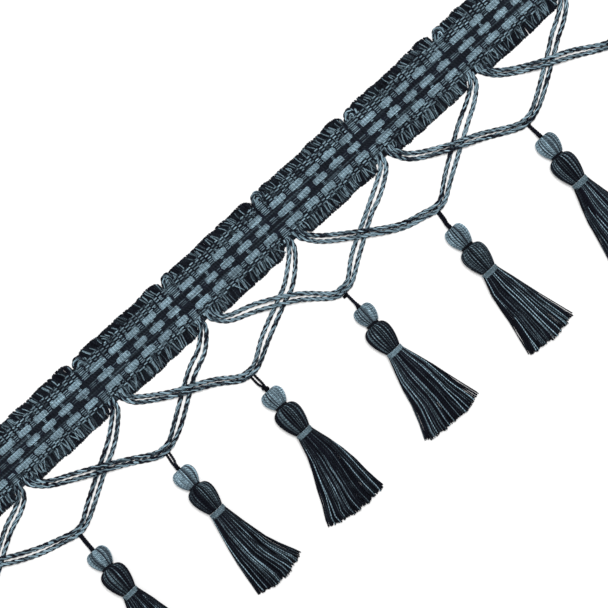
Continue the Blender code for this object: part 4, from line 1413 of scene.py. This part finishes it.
class FRINGE_OT_skirts(bpy.types.Operator):
    """Hang the cut strands of each tassel's skirt from its binding"""
    bl_idname = "fringe.skirts"
    bl_label = "Skirts"

    def execute(self, context):
        tassels = settings().tassels
        material = yarn_material("Skirt_Yarn", wander=0.9, plies=1.0)
        count = tassels.strands
        along = np.linspace(0.0, 1.0, len(STRAND_STATIONS))
        rise = LIGHT_STRAND_RISE * np.clip(np.linspace(-0.4, 1.6, len(STRAND_STATIONS)), 0.0, 1.0)
        for number in NUMBERS:
            rng = np.random.default_rng(500 + number)
            routes, facing = skirt_strands(number, count, rng)
            tones = skirt_tones(routes[:, -1, 0], facing, rng)
            routes[:, :, 2] += (tones > 0.22)[:, None] * rise
            starts = rng.uniform(-0.8, 0.5, count)[:, None]
            ends = rng.uniform(0.7, 2.4, count)[:, None]
            shown = np.clip(np.minimum(along - starts, ends - along) / 0.22, 0.15, 1.0)
            share = np.where(facing, np.where(tones > 0.6, 1.15, 1.0), 1.35)
            radius = tassels.strand_thread * share[:, None] / 2 * STRAND_SWELL
            tones = tones[:, None] * shown
            numbers = rng.random(count)
            yarn_mesh = YarnMesh()
            for seen, sides, stations in ((facing, 4, STRAND_STATIONS), (~facing, 3, COARSE_STRAND)):
                part = np.ix_(seen, stations)
                yarn_mesh.add(routes[part], radius[part], sides, tones[part], YARN_LAY, numbers[seen])
            place_piece(yarn_mesh.build(f"Tassel_{number}_Skirt", material), "dark_yarn", f"tassel_{number}")
        return {"FINISHED"}


def hanging_route(number):
    """Route of a hanging loop: up from the bead, over the swag's cords and down again."""
    bead_middle, bead_top, bead_radius, _ = bead_sizes(number)
    axis = axis_height(bead_radius)
    _, (low_x, low_y), _, _ = SWAGS[number - 1]
    low_x += notch_x(number)
    half = LOOP_WIDTHS[number - 1] / 2
    legs = (
        (bead_middle, bead_top - 0.0012, axis, 0.00040),
        (bead_middle, bead_top + 0.0004, axis, 0.00045),
        (bead_middle, bead_top + 0.0026, 0.8 * axis, min(half, 0.00040)),
        ((low_x + bead_middle) / 2, (low_y - 0.0018 + bead_top) / 2, 0.6 * axis, half),
        (low_x, low_y - 0.0026, 0.0005, half),
        (low_x, low_y + 0.0004, 0.00045, max(half, 0.0007)),
        (low_x, low_y + 0.0011, 0.00045, 0.0006),
    )
    left = [np.array((x - width, y, z)) for x, y, z, width in legs]
    right = [np.array((x + width, y, z)) for x, y, z, width in legs]
    top = np.array((low_x, low_y + 0.0014, 0.00045))
    return smooth_points([*left, top, *reversed(right)], HANGING_SPACING)


class FRINGE_OT_hanging_loops(bpy.types.Operator):
    """Hang each bead on its doubled dark thread"""
    bl_idname = "fringe.hanging_loops"
    bl_label = "Hanging loops"

    def execute(self, context):
        material = yarn_material("Hanging_Thread", 0.00010)
        for number, knots in zip(NUMBERS, LOOP_KNOTS):
            rng = np.random.default_rng(600 + number)
            bead_middle, bead_top, bead_radius, _ = bead_sizes(number)
            yarn_mesh = YarnMesh()
            add_twisted_cord(
                yarn_mesh, hanging_route(number), HANGING_DIAMETER, HANGING_LAY, 2, rng, sides=6, light=-1.0,
                ply_share=0.32,
            )
            for x, y, z, width in knots:
                place = (bead_middle + x, bead_top + y, axis_height(bead_radius) * z)
                wind_thread(
                    yarn_mesh, place, KNOT_RADIUS, width, KNOT_THREAD, KNOT_TURNS, 1.2, 0.0, rng, KNOT_LAY,
                )
            obj = yarn_mesh.build(f"Hanging_Loop_{number}_Thread", material)
            place_piece(obj, "dark_yarn", f"hanging_loop_{number}")
        return {"FINISHED"}


# Panel and run

OPERATORS = (
    FRINGE_OT_stage, FRINGE_OT_swag_cords, FRINGE_OT_heading_ground, FRINGE_OT_heading_floats,
    FRINGE_OT_heading_threads, FRINGE_OT_edge_loops, FRINGE_OT_notch_turns, FRINGE_OT_hanging_loops,
    FRINGE_OT_beads, FRINGE_OT_tassel_heads, FRINGE_OT_bindings, FRINGE_OT_skirts,
)


class FRINGE_PT_panel(bpy.types.Panel):
    """Sizes, colours and pieces of the fringe"""
    bl_idname = "FRINGE_PT_panel"
    bl_label = "Tassel Fringe"
    bl_space_type = "VIEW_3D"
    bl_region_type = "UI"
    bl_category = "Fringe"

    def draw(self, context):
        for group_name in settings().__annotations__:
            group = getattr(settings(), group_name)
            box = self.layout.box()
            for name in group.__annotations__:
                box.prop(group, name)
        for operator in OPERATORS:
            self.layout.operator(operator.bl_idname)


CLASSES = (
    FringeYarns, FringeHeading, FringeCords, FringeTassels, FringeStage, FringeSettings, *OPERATORS,
    FRINGE_PT_panel,
)


def register():
    for kind in CLASSES:
        bpy.utils.register_class(kind)
    bpy.types.Scene.tassel_fringe = bpy.props.PointerProperty(type=FringeSettings)


def unregister():
    del bpy.types.Scene.tassel_fringe
    for kind in reversed(CLASSES):
        bpy.utils.unregister_class(kind)


def write_sizes():
    """Puts the solids' box and the dressed trim's box side by side, as plain numbers."""
    boxes = {"cad": CAD_BOX, "visual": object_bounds()}
    plain = {name: [[float(value) for value in corner] for corner in box] for name, box in boxes.items()}


def main():
    register()
    bpy.ops.fringe.stage()
    bpy.ops.fringe.swag_cords()
    bpy.ops.fringe.heading_ground()
    bpy.ops.fringe.heading_floats()
    bpy.ops.fringe.heading_threads()
    bpy.ops.fringe.edge_loops()
    bpy.ops.fringe.notch_turns()
    bpy.ops.fringe.hanging_loops()
    bpy.ops.fringe.beads()
    bpy.ops.fringe.tassel_heads()
    bpy.ops.fringe.bindings()
    bpy.ops.fringe.skirts()
    write_sizes()


if __name__ == "__main__":
    main()
